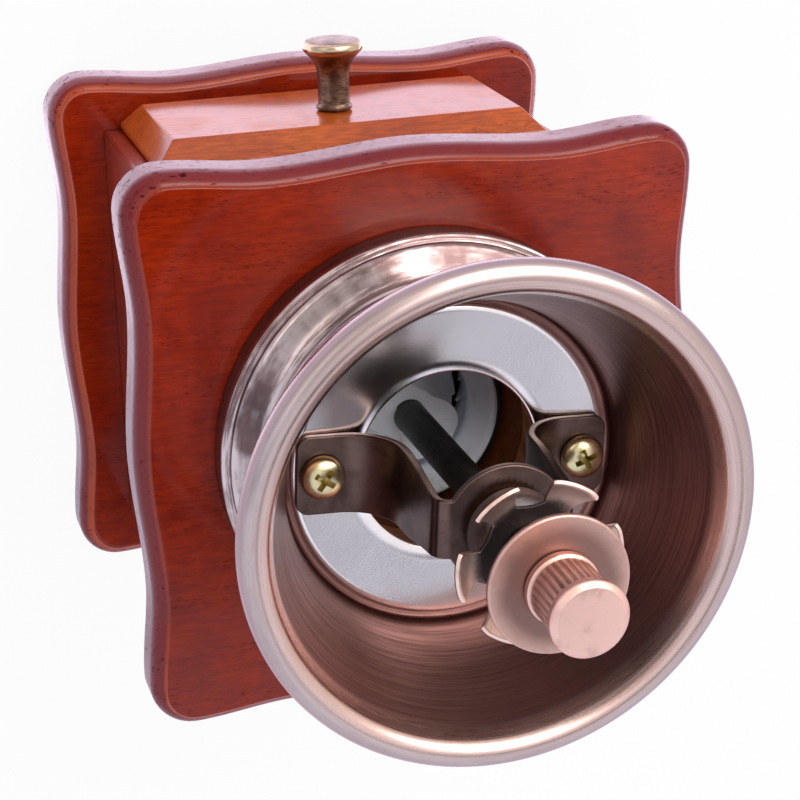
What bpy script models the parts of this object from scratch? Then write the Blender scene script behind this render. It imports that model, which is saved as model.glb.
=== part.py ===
"""Hand coffee grinder: a wooden box mill with a spun copper bowl, built from its separate pieces.

Metres, +Z up. The spindle's axis is the Z axis, the felt under the base is at z = 0, and the
drawer opens towards -Y.
"""
import math

import bmesh
import bpy
from mathutils import Vector

# Fits shared by all pieces
SEAT_GAP = 0.0003           # between two pieces that rest on each other
RUN_GAP = 0.00006           # round a shaft in its bush
KEY_GAP = 0.00015           # round a flatted shaft in its key hole
SCREW_GAP = 0.00025         # round a screw in its hole
CUT_OVERRUN = 0.001         # how far a cutter reaches past the face that it cuts
MERGE_DISTANCE = 0.000001

# How finely round shapes are faceted
ROUND_STEPS = 36
ROD_STEPS = 24
SMALL_STEPS = 10
CROWN_STEPS = 3
SMOOTH_ANGLE = math.radians(32)

# The two wavy boards
BOARD_HALF = 0.055          # from the middle to the straight line through the corners' sides
BOARD_THICK = 0.012
SIDE_CREST = 0.00034        # how far the middle of a side stands out past that line
SIDE_DIP = 0.00147          # how far the side draws in between its middle and its corners
DIP_PLACE_SHARE = 0.503
CORNER_RADIUS = 0.0083
OVOLO_RADIUS = 0.0029       # round-over of the upper edge
FACE_STEP = 0.0006          # small riser between the round-over and the upper face
UNDER_ROUND = 0.0016
WAVE_STEPS = 3
CORNER_STEPS = 5
OVOLO_STEPS = 4
UNDER_STEPS = 2

# Felt under the base
FELT_THICK = 0.0016
FELT_INSET = 0.005

# The box between the boards
BOARD_OVERHANG = 0.011      # of the boards past the box walls
WALL_THICK = 0.008
BOX_HEIGHT = 0.0701
BOX_EDGE = 0.0005
OPENING_HEIGHT = 0.0362     # of the drawer's opening, above the base board

# Screws that hold the base to the box walls
BASE_SCREW_RADIUS = 0.00175
BASE_SCREW_HEAD = 0.0036
BASE_SCREW_HEAD_HIGH = 0.0022
BASE_SCREW_REACH = 0.024
BASE_SCREW_PLACE_SHARE = 0.62
SCREW_EDGE_SHARE = 0.25     # height of the straight edge of a domed head
SCREW_CROWN_SHARE = 0.8     # fullness of its dome

# The drawer
DRAWER_SIDE_GAP = 0.0006
DRAWER_WALL = 0.006
DRAWER_HEIGHT = 0.031
DRAWER_BACK_GAP = 0.003     # behind the drawer box
DRAWER_FLOOR = 0.003
DRAWER_FLOOR_RISE = 0.002
GROOVE_DEPTH = 0.0027
FRONT_LIFT = 0.0006         # of the drawer front above the base board
FRONT_MARGIN = 0.0036       # of the box's front beside the drawer front
FRONT_HEIGHT = 0.0407
FRONT_EDGE = 0.0012         # straight edge behind the bevel
FRONT_BEVEL_WIDE = 0.0041
FRONT_BEVEL_DEEP = 0.0045

# The drawer knob, turned about its own axis
KNOB_RISE = 0.0038          # of the knob's axis above the middle of the drawer front
KNOB_LENGTH = 0.0143
KNOB_STEM_RADIUS = 0.00324
KNOB_FOOT_RADIUS = 0.0037
KNOB_FLARE_RADIUS = 0.0046
KNOB_HEAD_RADIUS = 0.00617
KNOB_FLARE_START_SHARE = 0.42
KNOB_FLARE_MID_SHARE = 0.72
KNOB_RIM_SHARE = 0.865
KNOB_CROWN_SHARE = 0.925
KNOB_SCREW_RADIUS = 0.0019
KNOB_SCREW_HEAD = 0.0036
KNOB_SCREW_HEAD_HIGH = 0.002
KNOB_SCREW_BITE = 0.008

# The copper bowl, spun from one sheet; heights are above the top board
SHEET = 0.0011
SKIRT_RADIUS = 0.0408
SKIRT_HEIGHT = 0.0047
BEAD_RADIUS = 0.0410
BEAD_HEIGHT = 0.0061
GROOVE_RADIUS = 0.0395
GROOVE_HEIGHT = 0.0070
SHOULDER_RADIUS = 0.0352
SHOULDER_HEIGHT = 0.0098
WAIST_RADIUS = 0.0330
WAIST_HEIGHT = 0.0150
FLOOR_HEIGHT = 0.0136       # of the bowl floor's upper face
FLOOR_HOLE = 0.0198
BELLY_RADIUS = 0.0332       # handles of the curve that the wall follows up to the rim
BELLY_HEIGHT = 0.0225
THROW_RADIUS = 0.0386
THROW_HEIGHT = 0.0330
RIM_RADIUS = 0.0441         # centre of the rolled rim
RIM_HEIGHT = 0.0435
RIM_ROLL = 0.00295
LIP_RADIUS = 0.0410
LIP_HEIGHT = 0.0443
WALL_TOP_RADIUS = 0.0424
WALL_TOP_HEIGHT = 0.0403
BOWL_CURVE_STEPS = 6
RIM_STEPS = 7

# The wooden ring that fills the bowl's foot and leads the beans down
RISER_MARGIN = 0.0030       # inside the bowl's waist
BORE_RADIUS = 0.0195

# The steel plate on the bowl's floor
PLATE_MARGIN = 0.0030       # inside the bowl's waist
PLATE_THICK = 0.0012
PLATE_HOLE = 0.01735
PLATE_LIP = 0.0026
PLATE_LIP_DROP_SHARE = 0.35

# The bridge bracket that carries the spindle's upper bearing
STRAP_TURN = -0.060         # radians about the spindle
STRAP_THICK = 0.0015
STRAP_MARGIN = 0.0004       # of a foot's end inside the plate's edge
STRAP_HALF_WIDTH = 0.00755
NECK_HALF_WIDTH = 0.0053
LEG_PLACE = 0.0122
HUB_RADIUS = 0.0112
HUB_HEIGHT = 0.0458         # of the hub's upper face above the top board
FOOT_FLAT = 0.0082          # length of the flat foot, up to its bend
NECK_BEND = 0.0024
FOOT_CORNER = 0.0025
FOOT_CORNER_SHARES = (0.1, 0.4, 1.0)
HUB_REACH_SHARES = (0.75, 0.58, 0.38, 0.18)
TAPER_START_SHARE = 0.35
BEND_STEPS = 6

# Screws that hold the bracket, the plate and the bowl to the top board
BRACKET_SCREW_MARGIN = 0.0046  # of a screw's axis inside a foot's end
BRACKET_SCREW_RADIUS = 0.0020
BRACKET_SCREW_HEAD = 0.0041
BRACKET_SCREW_HEAD_HIGH = 0.0026
BRACKET_SCREW_BITE = 0.0070  # into the top board

# The flanged bush in the hub
BUSH_RADIUS = 0.0049
BUSH_FLANGE_RADIUS = 0.0070
BUSH_FLANGE_THICK = 0.0009
BUSH_DROP = 0.0030

# The spindle
SPINDLE_RADIUS = 0.0032
FLAT_ACROSS = 0.0048        # across the two flats that carry the keyed pieces
SQUARE_ACROSS = 0.0048      # across the crank's square
TOP_THREAD_RADIUS = 0.00235
FOOT_THREAD_RADIUS = 0.0029
SPINDLE_END_CHAMFER = 0.0006
FLAT_RUN_OUT = 0.0015       # of the upper flats below the drive collar
SQUARE_LENGTH = 0.0060
TOP_THREAD_LENGTH = 0.0126
FOOT_THREAD_SPARE = 0.0016

# The drive collar, which the spindle's flats turn and which rests on the bush
COLLAR_RADIUS = 0.0080
COLLAR_HEIGHT = 0.0096
COLLAR_CHAMFER = 0.0006

# The cog that sets the grind: a pressed sheet on a threaded hub
COG_PETALS = 6
COG_TURN = math.radians(2.5)
COG_SHEET = 0.0010
COG_RADIUS = 0.0150         # of the petals' tips
COG_ROOT_RADIUS = 0.0095
COG_HOLE = 0.0049
COG_RISE = 0.0042           # of the petals' tips above the flat middle
PETAL_ROOT_HALF = math.radians(15)
PETAL_TIP_HALF = math.radians(18.5)
PETAL_CURL_SHARE = 0.9      # power that spreads the petals' curl
PETAL_STEPS = 5
PETAL_RINGS = 3
NOTCH_STEPS = 3
HUB_SPIGOT_RADIUS = 0.0046
COG_HUB_RADIUS = 0.0058
COG_HUB_HEIGHT = 0.0040
THREAD_GAP = 0.00015

# The washer and the thumb nut that clamp the crank
WASHER_RADIUS = 0.01225
WASHER_THICK = 0.0012
WASHER_EDGE = 0.0004
WASHER_HOLE = 0.0026
NUT_COLLAR_RADIUS = 0.0063
NUT_COLLAR_HEIGHT = 0.0015
NUT_KNURL_RADIUS = 0.0059
NUT_KNURL_DEPTH = 0.0003
NUT_KNURL_LENGTH = 0.0090
NUT_RIDGES = 30
NUT_CAP_RADIUS = 0.0067
NUT_CAP_HEIGHT = 0.0026
NUT_CAP_EDGE = 0.0007
NUT_ROOF = 0.0017
NUT_BORE_GAP = 0.0002

# The burrs
BURR_HEIGHT = 0.0162        # of the turning burr
BURR_SKIRT_RADIUS = 0.0144
BURR_TOP_REACH = 0.0104     # of the vanes at the burr's top
BURR_CORE_RADIUS = 0.0058
BURR_CORE_START_SHARE = 0.28
BURR_DEPTH = 0.0098         # of the turning burr's top below the top board's face
BURR_VANES = 2
BURR_VANE_TWIST = math.radians(150)
BURR_TEETH = 16
BURR_TOOTH_DEPTH = 0.0008
BURR_TOOTH_LEAN = math.radians(22)
BURR_POINTS = 48
BURR_LEVEL_SHARES = (0.0, 0.14, 0.32, 0.48, 0.65, 0.82, 1.0)
BURR_GAP = 0.0006           # between the two burrs' skirts
RING_RADIUS = 0.0180
RING_HEIGHT = 0.0160
RING_DEPTH = 0.0095         # of the ring burr's top below the top board's face
RING_MOUTH_RADIUS = 0.0172
THROAT_RADIUS = 0.0135
THROAT_SHARE = 0.68         # height of the throat in the ring burr
RING_TEETH = 22
RING_TOOTH_DEPTH = 0.0008
BURR_WASHER_RADIUS = 0.0060
BURR_WASHER_THICK = 0.0010
BURR_NUT_ACROSS = 0.0100
BURR_NUT_HEIGHT = 0.0048

# The holder that carries the ring burr under the top board
HOLDER_WALL = 0.0009        # of the sleeve in the top board's bore
HOLDER_SLEEVE_DROP = 0.0010
HOLDER_BARREL_WALL = 0.0027
HOLDER_FLANGE_RADIUS = 0.0280
HOLDER_FLANGE_THICK = 0.0025
HOLDER_LIP_THICK = 0.0018
HOLDER_LIP_REACH = 0.0021
HOLDER_SCREW_PLACE = 0.0245
HOLDER_SCREWS = 3
HOLDER_SCREW_RADIUS = 0.0016
HOLDER_SCREW_HEAD = 0.0030
HOLDER_SCREW_HEAD_HIGH = 0.0020
HOLDER_SCREW_BITE = 0.0080

# Sizes that follow the boards
BOX_HALF = BOARD_HALF - BOARD_OVERHANG
DRAWER_DEPTH = 2 * BOX_HALF - WALL_THICK - DRAWER_BACK_GAP
FRONT_HALF_WIDTH = BOX_HALF - FRONT_MARGIN

# Sizes that follow the bowl's waist
RISER_RADIUS = WAIST_RADIUS - RISER_MARGIN
PLATE_RADIUS = WAIST_RADIUS - PLATE_MARGIN
STRAP_REACH = PLATE_RADIUS - STRAP_MARGIN       # from the spindle to a foot's end
FOOT_BEND = STRAP_REACH - LEG_PLACE - FOOT_FLAT
BRACKET_SCREW_PLACE = STRAP_REACH - BRACKET_SCREW_MARGIN

# Levels, from the felt upwards
BASE_LOW = FELT_THICK + SEAT_GAP
BASE_TOP = BASE_LOW + BOARD_THICK
BOX_LOW = BASE_TOP + SEAT_GAP
BOX_TOP = BOX_LOW + BOX_HEIGHT
TOP_LOW = BOX_TOP + SEAT_GAP
TOP_FACE = TOP_LOW + BOARD_THICK
HUB_TOP = TOP_FACE + HUB_HEIGHT
BUSH_TOP = HUB_TOP + SEAT_GAP + BUSH_FLANGE_THICK
COLLAR_LOW = BUSH_TOP + SEAT_GAP
COLLAR_TOP = COLLAR_LOW + COLLAR_HEIGHT
COG_HUB_LOW = COLLAR_TOP + SEAT_GAP
COG_LOW = COG_HUB_LOW + SEAT_GAP
COG_FLANGE_LOW = COG_LOW + COG_SHEET + SEAT_GAP
COG_HUB_TOP = COG_FLANGE_LOW + COG_HUB_HEIGHT
SQUARE_LOW = COG_HUB_TOP + SEAT_GAP
SQUARE_TOP = SQUARE_LOW + SQUARE_LENGTH
WASHER_LOW = SQUARE_TOP + SEAT_GAP
NUT_LOW = WASHER_LOW + WASHER_THICK + SEAT_GAP
BURR_TOP = TOP_FACE - BURR_DEPTH
BURR_LOW = BURR_TOP - BURR_HEIGHT
BURR_WASHER_LOW = BURR_LOW - SEAT_GAP - BURR_WASHER_THICK
BURR_NUT_LOW = BURR_WASHER_LOW - SEAT_GAP - BURR_NUT_HEIGHT
RING_TOP = TOP_FACE - RING_DEPTH
RING_LOW = RING_TOP - RING_HEIGHT


def finish(name, red, green, blue, roughness, metallic=0.0):
    """A plain Principled material."""
    material = bpy.data.materials.new(name)
    material.use_nodes = True
    shader = material.node_tree.nodes["Principled BSDF"]
    shader.inputs["Base Color"].default_value = (red, green, blue, 1.0)
    shader.inputs["Roughness"].default_value = roughness
    shader.inputs["Metallic"].default_value = metallic
    material.diffuse_color = (red, green, blue, 1.0)
    return material


def piece(name, shape, material, place=(0.0, 0.0, 0.0), parent=None):
    """Turn a bmesh into a named object; place is where its own origin lies in the world."""
    mesh = bpy.data.meshes.new(name)
    shape.to_mesh(mesh)
    shape.free()
    mesh.shade_smooth()
    mesh.set_sharp_from_angle(angle=SMOOTH_ANGLE)
    thing = bpy.data.objects.new(name, mesh)
    bpy.context.collection.objects.link(thing)
    settle(thing, place, parent)
    if material:
        mesh.materials.append(material)
    return thing


def settle(thing, place, parent):
    """Put a thing at a place in its parent's turned frame, which starts at the parent's origin."""
    thing.location = Vector(place)
    if parent:
        thing.parent = parent
        thing.location = Vector(place) - parent.location


def pivot(name, height, turn=0.0, parent=None):
    """An empty on the spindle's axis, which the pieces of one moving group hang from."""
    empty = bpy.data.objects.new(name, None)
    empty.empty_display_size = SPINDLE_RADIUS
    bpy.context.collection.objects.link(empty)
    empty.location = (0.0, 0.0, height)
    empty.rotation_euler = (0.0, 0.0, turn)
    if parent:
        empty.parent = parent
        empty.location = Vector((0.0, 0.0, height)) - parent.location
    return empty


def cut(target, cutter):
    """Take a cutter's shape out of a piece."""
    cutter.hide_render = True
    cutter.display_type = 'WIRE'
    boolean = target.modifiers.new(cutter.name, 'BOOLEAN')
    boolean.operation = 'DIFFERENCE'
    boolean.solver = 'EXACT'
    boolean.object = cutter


def loft(rings, joined=False):
    """A closed skin through rings of equal count: joined end to end, or capped at both ends."""
    shape = bmesh.new()
    rows = [[shape.verts.new(point) for point in ring] for ring in rings]
    following = rows[1:] + rows[:1] if joined else rows[1:]
    for row, after in zip(rows, following):
        for index, corner in enumerate(row):
            turn = (index + 1) % len(row)
            shape.faces.new((corner, row[turn], after[turn], after[index]))
    if not joined:
        shape.faces.new(rows[0])
        shape.faces.new(rows[-1])
    bmesh.ops.recalc_face_normals(shape, faces=shape.faces)
    return shape


def turned(profile, steps=ROUND_STEPS):
    """Turn a profile of (radius, height) about Z; one that leaves the axis and returns is solid."""
    shape = bmesh.new()
    corners = [shape.verts.new((radius, 0.0, height)) for radius, height in profile]
    edges = [shape.edges.new(pair) for pair in zip(corners, corners[1:])]
    if profile[0][0] > 0:
        edges.append(shape.edges.new((corners[-1], corners[0])))
    bmesh.ops.spin(shape, geom=corners + edges, cent=(0.0, 0.0, 0.0), axis=(0.0, 0.0, 1.0),
                   angle=math.tau, steps=steps, use_merge=True)
    bmesh.ops.remove_doubles(shape, verts=shape.verts, dist=MERGE_DISTANCE)
    bmesh.ops.recalc_face_normals(shape, faces=shape.faces)
    return shape


def block(size):
    """A rectangular solid on its own middle."""
    shape = bmesh.new()
    bmesh.ops.create_cube(shape, size=1.0)
    bmesh.ops.scale(shape, vec=size, verts=shape.verts)
    return shape


def eased_edges(thing, width, segments=1):
    """Break a piece's sharp edges."""
    bevel = thing.modifiers.new("edges", 'BEVEL')
    bevel.width = width
    bevel.segments = segments
    bevel.limit_method = 'ANGLE'
    return bevel


def drill(name, places, radius, low, high, parent=None, steps=SMALL_STEPS):
    """Upright drill bodies at several places, as one cutter."""
    shape = bmesh.new()
    for across, along in places:
        made = bmesh.ops.create_cone(shape, cap_ends=True, segments=steps, radius1=radius,
                                     radius2=radius, depth=high - low)
        middle = Vector((across, along, (low + high) / 2))
        bmesh.ops.translate(shape, vec=middle, verts=made["verts"])
    return piece(name, shape, None, parent=parent)


def arc(centre, radius, start, end, steps):
    """Points of an arc in a profile, both ends included."""
    points = []
    for step in range(steps + 1):
        angle = start + (end - start) * step / steps
        points.append((centre[0] + radius * math.cos(angle), centre[1] + radius * math.sin(angle)))
    return points


def curve(start, leaving, arriving, end, steps):
    """Points of a cubic curve in a profile, without its last one."""
    points = []
    for step in range(steps):
        t = step / steps
        weights = ((1 - t) ** 3, 3 * t * (1 - t) ** 2, 3 * t * t * (1 - t), t ** 3)
        knots = (start, leaving, arriving, end)
        points.append(tuple(sum(w * knot[i] for w, knot in zip(weights, knots)) for i in (0, 1)))
    return points


def ease(share):
    """Smooth passage from 0 to 1."""
    share = min(max(share, 0.0), 1.0)
    return share * share * (3 - 2 * share)


def between(low, high, share):
    return low + (high - low) * share


def round_ring(radius, height, count):
    """A level ring of points on a circle."""
    return [Vector((radius * math.cos(math.tau * i / count),
                    radius * math.sin(math.tau * i / count), height)) for i in range(count)]


def flatted_ring(radius, across, flats, height, count=ROD_STEPS):
    """A level ring of a round rod with flats milled on it."""
    ring = []
    for index in range(count):
        angle = math.tau * index / count
        nearest = round(angle * flats / math.tau) * math.tau / flats
        reach = min(radius, across / 2 / max(math.cos(angle - nearest), across / 2 / radius))
        ring.append(Vector((reach * math.cos(angle), reach * math.sin(angle), height)))
    return ring


def side_wave(along):
    """How far a board's side stands out at a distance from its middle."""
    along = abs(along)
    dip_place = BOARD_HALF * DIP_PLACE_SHARE
    corner_place = BOARD_HALF - CORNER_RADIUS
    if along < dip_place:
        return between(SIDE_CREST, -SIDE_DIP, ease(along / dip_place))
    return between(-SIDE_DIP, 0.0, ease((along - dip_place) / (corner_place - dip_place)))


def board_outline():
    """One trip round the wavy square, with the outward direction at each point."""
    straight = BOARD_HALF - CORNER_RADIUS
    dip_place = BOARD_HALF * DIP_PLACE_SHARE
    half_side = [dip_place * i / WAVE_STEPS for i in range(WAVE_STEPS)]
    half_side += [between(dip_place, straight, i / WAVE_STEPS) for i in range(WAVE_STEPS + 1)]
    side = [-along for along in reversed(half_side[1:])] + half_side[:-1]
    points = []
    for quarter in range(4):
        heading = quarter * math.pi / 2
        outward = Vector((math.cos(heading), math.sin(heading)))
        sideways = Vector((-outward.y, outward.x))
        for along in side:
            points.append(outward * (BOARD_HALF + side_wave(along)) + sideways * along)
        centre = (outward + sideways) * straight
        for step in range(CORNER_STEPS):
            angle = heading + math.pi / 2 * step / CORNER_STEPS
            points.append(centre + CORNER_RADIUS * Vector((math.cos(angle), math.sin(angle))))
    outwards = []
    for index, point in enumerate(points):
        run = points[(index + 1) % len(points)] - points[index - 1]
        outwards.append(Vector((run.y, -run.x)).normalized())
    return points, outwards


def board_shape(levels):
    """A wavy slab whose edge follows levels of (inset, height), from the bottom up."""
    points, outwards = board_outline()
    rings = []
    for inset, height in levels:
        rings.append([(point - outward * inset).to_3d() + Vector((0.0, 0.0, height))
                      for point, outward in zip(points, outwards)])
    return loft(rings)


def moulded_board(name, low, material):
    """One of the two boards: rounded below, an ovolo and a small step above."""
    ovolo_low = BOARD_THICK - FACE_STEP - OVOLO_RADIUS
    under = arc((UNDER_ROUND, UNDER_ROUND), UNDER_ROUND, -math.pi / 2, -math.pi, UNDER_STEPS)
    ovolo = arc((OVOLO_RADIUS, ovolo_low), OVOLO_RADIUS, math.pi, math.pi / 2, OVOLO_STEPS)
    levels = under + ovolo + [(OVOLO_RADIUS, BOARD_THICK)]
    return piece(name, board_shape(levels), material, (0.0, 0.0, low))


def domed_screw(radius, head_radius, head_high, length):
    """A screw standing head up, with the underside of its head at its own zero."""
    crown = curve((head_radius, head_high * SCREW_EDGE_SHARE),
                  (head_radius, head_high * SCREW_CROWN_SHARE),
                  (head_radius / 2, head_high), (0.0, head_high), CROWN_STEPS)
    profile = [(0.0, -length), (radius / 3, -length), (radius, radius * 2 - length), (radius, 0.0),
               (head_radius, 0.0)] + crown + [(0.0, head_high)]
    return turned(profile, SMALL_STEPS)


def build_boards(wood, felt):
    """The felt, the base board and the top board with its bore."""
    felt_levels = ((FELT_INSET, 0.0), (FELT_INSET, FELT_THICK))
    piece("base_felt", board_shape(felt_levels), felt)
    base = moulded_board("base_board", BASE_LOW, wood)
    top = moulded_board("top_board", TOP_LOW, wood)
    bore = drill("top_bore_cutter", [(0.0, 0.0)], BORE_RADIUS, TOP_LOW - CUT_OVERRUN,
                 TOP_FACE + CUT_OVERRUN, steps=ROUND_STEPS)
    cut(top, bore)
    return base, top


def build_box(wood):
    """The four walls between the boards; the drawer's opening is under the front rail."""
    middle = (BOX_LOW + BOX_TOP) / 2
    wall_place = BOX_HALF - WALL_THICK / 2
    inner_width = 2 * (BOX_HALF - WALL_THICK - SEAT_GAP)
    sides = []
    for name, way in (("box_side_left", -1), ("box_side_right", 1)):
        side = piece(name, block((WALL_THICK, 2 * BOX_HALF, BOX_HEIGHT)), wood,
                     (way * wall_place, 0.0, middle))
        sides.append(side)
    back = piece("box_back", block((inner_width, WALL_THICK, BOX_HEIGHT)), wood,
                 (0.0, wall_place, middle))
    rail_height = BOX_HEIGHT - OPENING_HEIGHT
    rail = piece("box_front_rail", block((inner_width, WALL_THICK, rail_height)), wood,
                 (0.0, -wall_place, BOX_TOP - rail_height / 2))
    for wall in sides + [back, rail]:
        eased_edges(wall, BOX_EDGE)
    return sides


def build_base_screws(steel, base, sides):
    """Four screws from under the base board into the side walls."""
    across = BOX_HALF - WALL_THICK / 2
    along = BOX_HALF * BASE_SCREW_PLACE_SHARE
    sink = BASE_SCREW_HEAD_HIGH + SEAT_GAP
    places = [(x, y) for x in (-across, across) for y in (-along, along)]
    cut(base, drill("base_screw_hole_cutter", places, BASE_SCREW_RADIUS + SCREW_GAP,
                    BASE_LOW - CUT_OVERRUN, BASE_TOP + CUT_OVERRUN))
    cut(base, drill("base_screw_sink_cutter", places, BASE_SCREW_HEAD + SCREW_GAP,
                    BASE_LOW - CUT_OVERRUN, BASE_LOW + sink))
    for index, side in enumerate(sides):
        own = places[2 * index:2 * index + 2]
        cut(side, drill(side.name + "_pilot_cutter", own, BASE_SCREW_RADIUS + SCREW_GAP,
                        BOX_LOW - CUT_OVERRUN, BASE_LOW + sink + BASE_SCREW_REACH + SEAT_GAP))
    for index, (x, y) in enumerate(places):
        shape = domed_screw(BASE_SCREW_RADIUS, BASE_SCREW_HEAD, BASE_SCREW_HEAD_HIGH,
                            BASE_SCREW_REACH)
        screw = piece("base_screw_" + str(index + 1), shape, steel, (x, y, BASE_LOW + sink))
        screw.rotation_euler = (math.pi, 0.0, 0.0)
        screw.location.z -= SEAT_GAP


def drawer_side_shape(way):
    """A drawer side seen from its end, grooved for the drawer floor and drawn out backwards."""
    groove_low = DRAWER_FLOOR_RISE - SEAT_GAP
    groove_top = DRAWER_FLOOR_RISE + DRAWER_FLOOR + SEAT_GAP
    groove_in = DRAWER_WALL - GROOVE_DEPTH - SEAT_GAP
    outline = [(0.0, 0.0), (DRAWER_WALL, 0.0), (DRAWER_WALL, groove_low), (groove_in, groove_low),
               (groove_in, groove_top), (DRAWER_WALL, groove_top), (DRAWER_WALL, DRAWER_HEIGHT),
               (0.0, DRAWER_HEIGHT)]
    rings = [[Vector((-way * x, y, z)) for x, z in outline] for y in (0.0, DRAWER_DEPTH)]
    return loft(rings)


def raised_front_shape():
    """The drawer front: a flat field with a wide bevel down to a thin edge, facing -Y."""
    half_high = FRONT_HEIGHT / 2
    levels = ((0.0, 0.0), (0.0, -FRONT_EDGE), (FRONT_BEVEL_WIDE, -FRONT_EDGE - FRONT_BEVEL_DEEP))
    rings = []
    for inset, depth in levels:
        x = FRONT_HALF_WIDTH - inset
        z = half_high - inset
        rings.append([Vector((-x, depth, -z)), Vector((x, depth, -z)), Vector((x, depth, z)),
                      Vector((-x, depth, z))])
    return loft(rings)


def build_drawer(wood, brass, steel):
    """The drawer, pushed right in, with its knob."""
    slide = pivot("drawer_slide", BASE_TOP)
    box_front = -BOX_HALF
    front_back = box_front - SEAT_GAP
    drawer_low = BASE_TOP + SEAT_GAP
    outer = BOX_HALF - WALL_THICK - DRAWER_SIDE_GAP
    front_middle = BASE_TOP + FRONT_LIFT + FRONT_HEIGHT / 2
    front = piece("drawer_front", raised_front_shape(), wood, (0.0, front_back, front_middle), slide)

    side_front = front_back + SEAT_GAP
    for name, way in (("drawer_side_left", -1), ("drawer_side_right", 1)):
        piece(name, drawer_side_shape(way), wood, (way * outer, side_front, drawer_low), slide)
    inner = outer - DRAWER_WALL
    back_y = side_front + DRAWER_DEPTH - DRAWER_WALL / 2
    back_low = drawer_low + DRAWER_FLOOR_RISE + DRAWER_FLOOR + SEAT_GAP
    back_high = drawer_low + DRAWER_HEIGHT - back_low
    back = piece("drawer_back", block((2 * (inner - SEAT_GAP), DRAWER_WALL, back_high)), wood,
                 (0.0, back_y, back_low + back_high / 2), slide)
    eased_edges(back, BOX_EDGE)
    floor_size = (2 * (inner + GROOVE_DEPTH), DRAWER_DEPTH, DRAWER_FLOOR)
    floor_middle = drawer_low + DRAWER_FLOOR_RISE + DRAWER_FLOOR / 2
    piece("drawer_bottom", block(floor_size), wood,
          (0.0, side_front + DRAWER_DEPTH / 2, floor_middle), slide)

    knob_height = front_middle + KNOB_RISE
    field = front_back - FRONT_EDGE - FRONT_BEVEL_DEEP
    build_knob(slide, field, front_back, knob_height, front, brass, steel)


def build_knob(slide, field, front_back, height, front, brass, steel):
    """The turned knob on the drawer's field and the screw that holds it from inside."""
    length = KNOB_LENGTH
    bite = KNOB_SCREW_BITE
    bore = KNOB_SCREW_RADIUS + SCREW_GAP
    profile = [(0.0, bite + SEAT_GAP), (bore, bite + SEAT_GAP), (bore, 0.0),
               (KNOB_FOOT_RADIUS, 0.0), (KNOB_STEM_RADIUS, KNOB_FOOT_RADIUS - KNOB_STEM_RADIUS)]
    flare_start = (KNOB_STEM_RADIUS, length * KNOB_FLARE_START_SHARE)
    flare_mid = (KNOB_FLARE_RADIUS, length * KNOB_FLARE_MID_SHARE)
    rim = (KNOB_HEAD_RADIUS, length * KNOB_RIM_SHARE)
    profile += curve(flare_start, (KNOB_STEM_RADIUS, flare_mid[1]), flare_mid, rim, 5)
    crown = (KNOB_HEAD_RADIUS, length * KNOB_CROWN_SHARE)
    profile += [rim] + curve(crown, (KNOB_HEAD_RADIUS, length), (KNOB_FLARE_RADIUS, length),
                             (0.0, length), 4) + [(0.0, length)]
    knob = piece("drawer_knob", turned(profile, 2 * SMALL_STEPS), brass,
                 (0.0, field - SEAT_GAP, height), slide)
    knob.rotation_euler = (math.pi / 2, 0.0, 0.0)
    grip = front_back - field + 2 * SEAT_GAP + bite
    shape = domed_screw(KNOB_SCREW_RADIUS, KNOB_SCREW_HEAD, KNOB_SCREW_HEAD_HIGH, grip)
    screw = piece("knob_screw", shape, steel, (0.0, front_back + SEAT_GAP, height), slide)
    screw.rotation_euler = (-math.pi / 2, 0.0, 0.0)
    hole_length = front_back - field + 2 * CUT_OVERRUN
    hole = drill("knob_hole_cutter", [(0.0, 0.0)], bore, -hole_length / 2, hole_length / 2)
    settle(hole, (0.0, (field + front_back) / 2, height), slide)
    hole.rotation_euler = (math.pi / 2, 0.0, 0.0)
    cut(front, hole)


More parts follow.
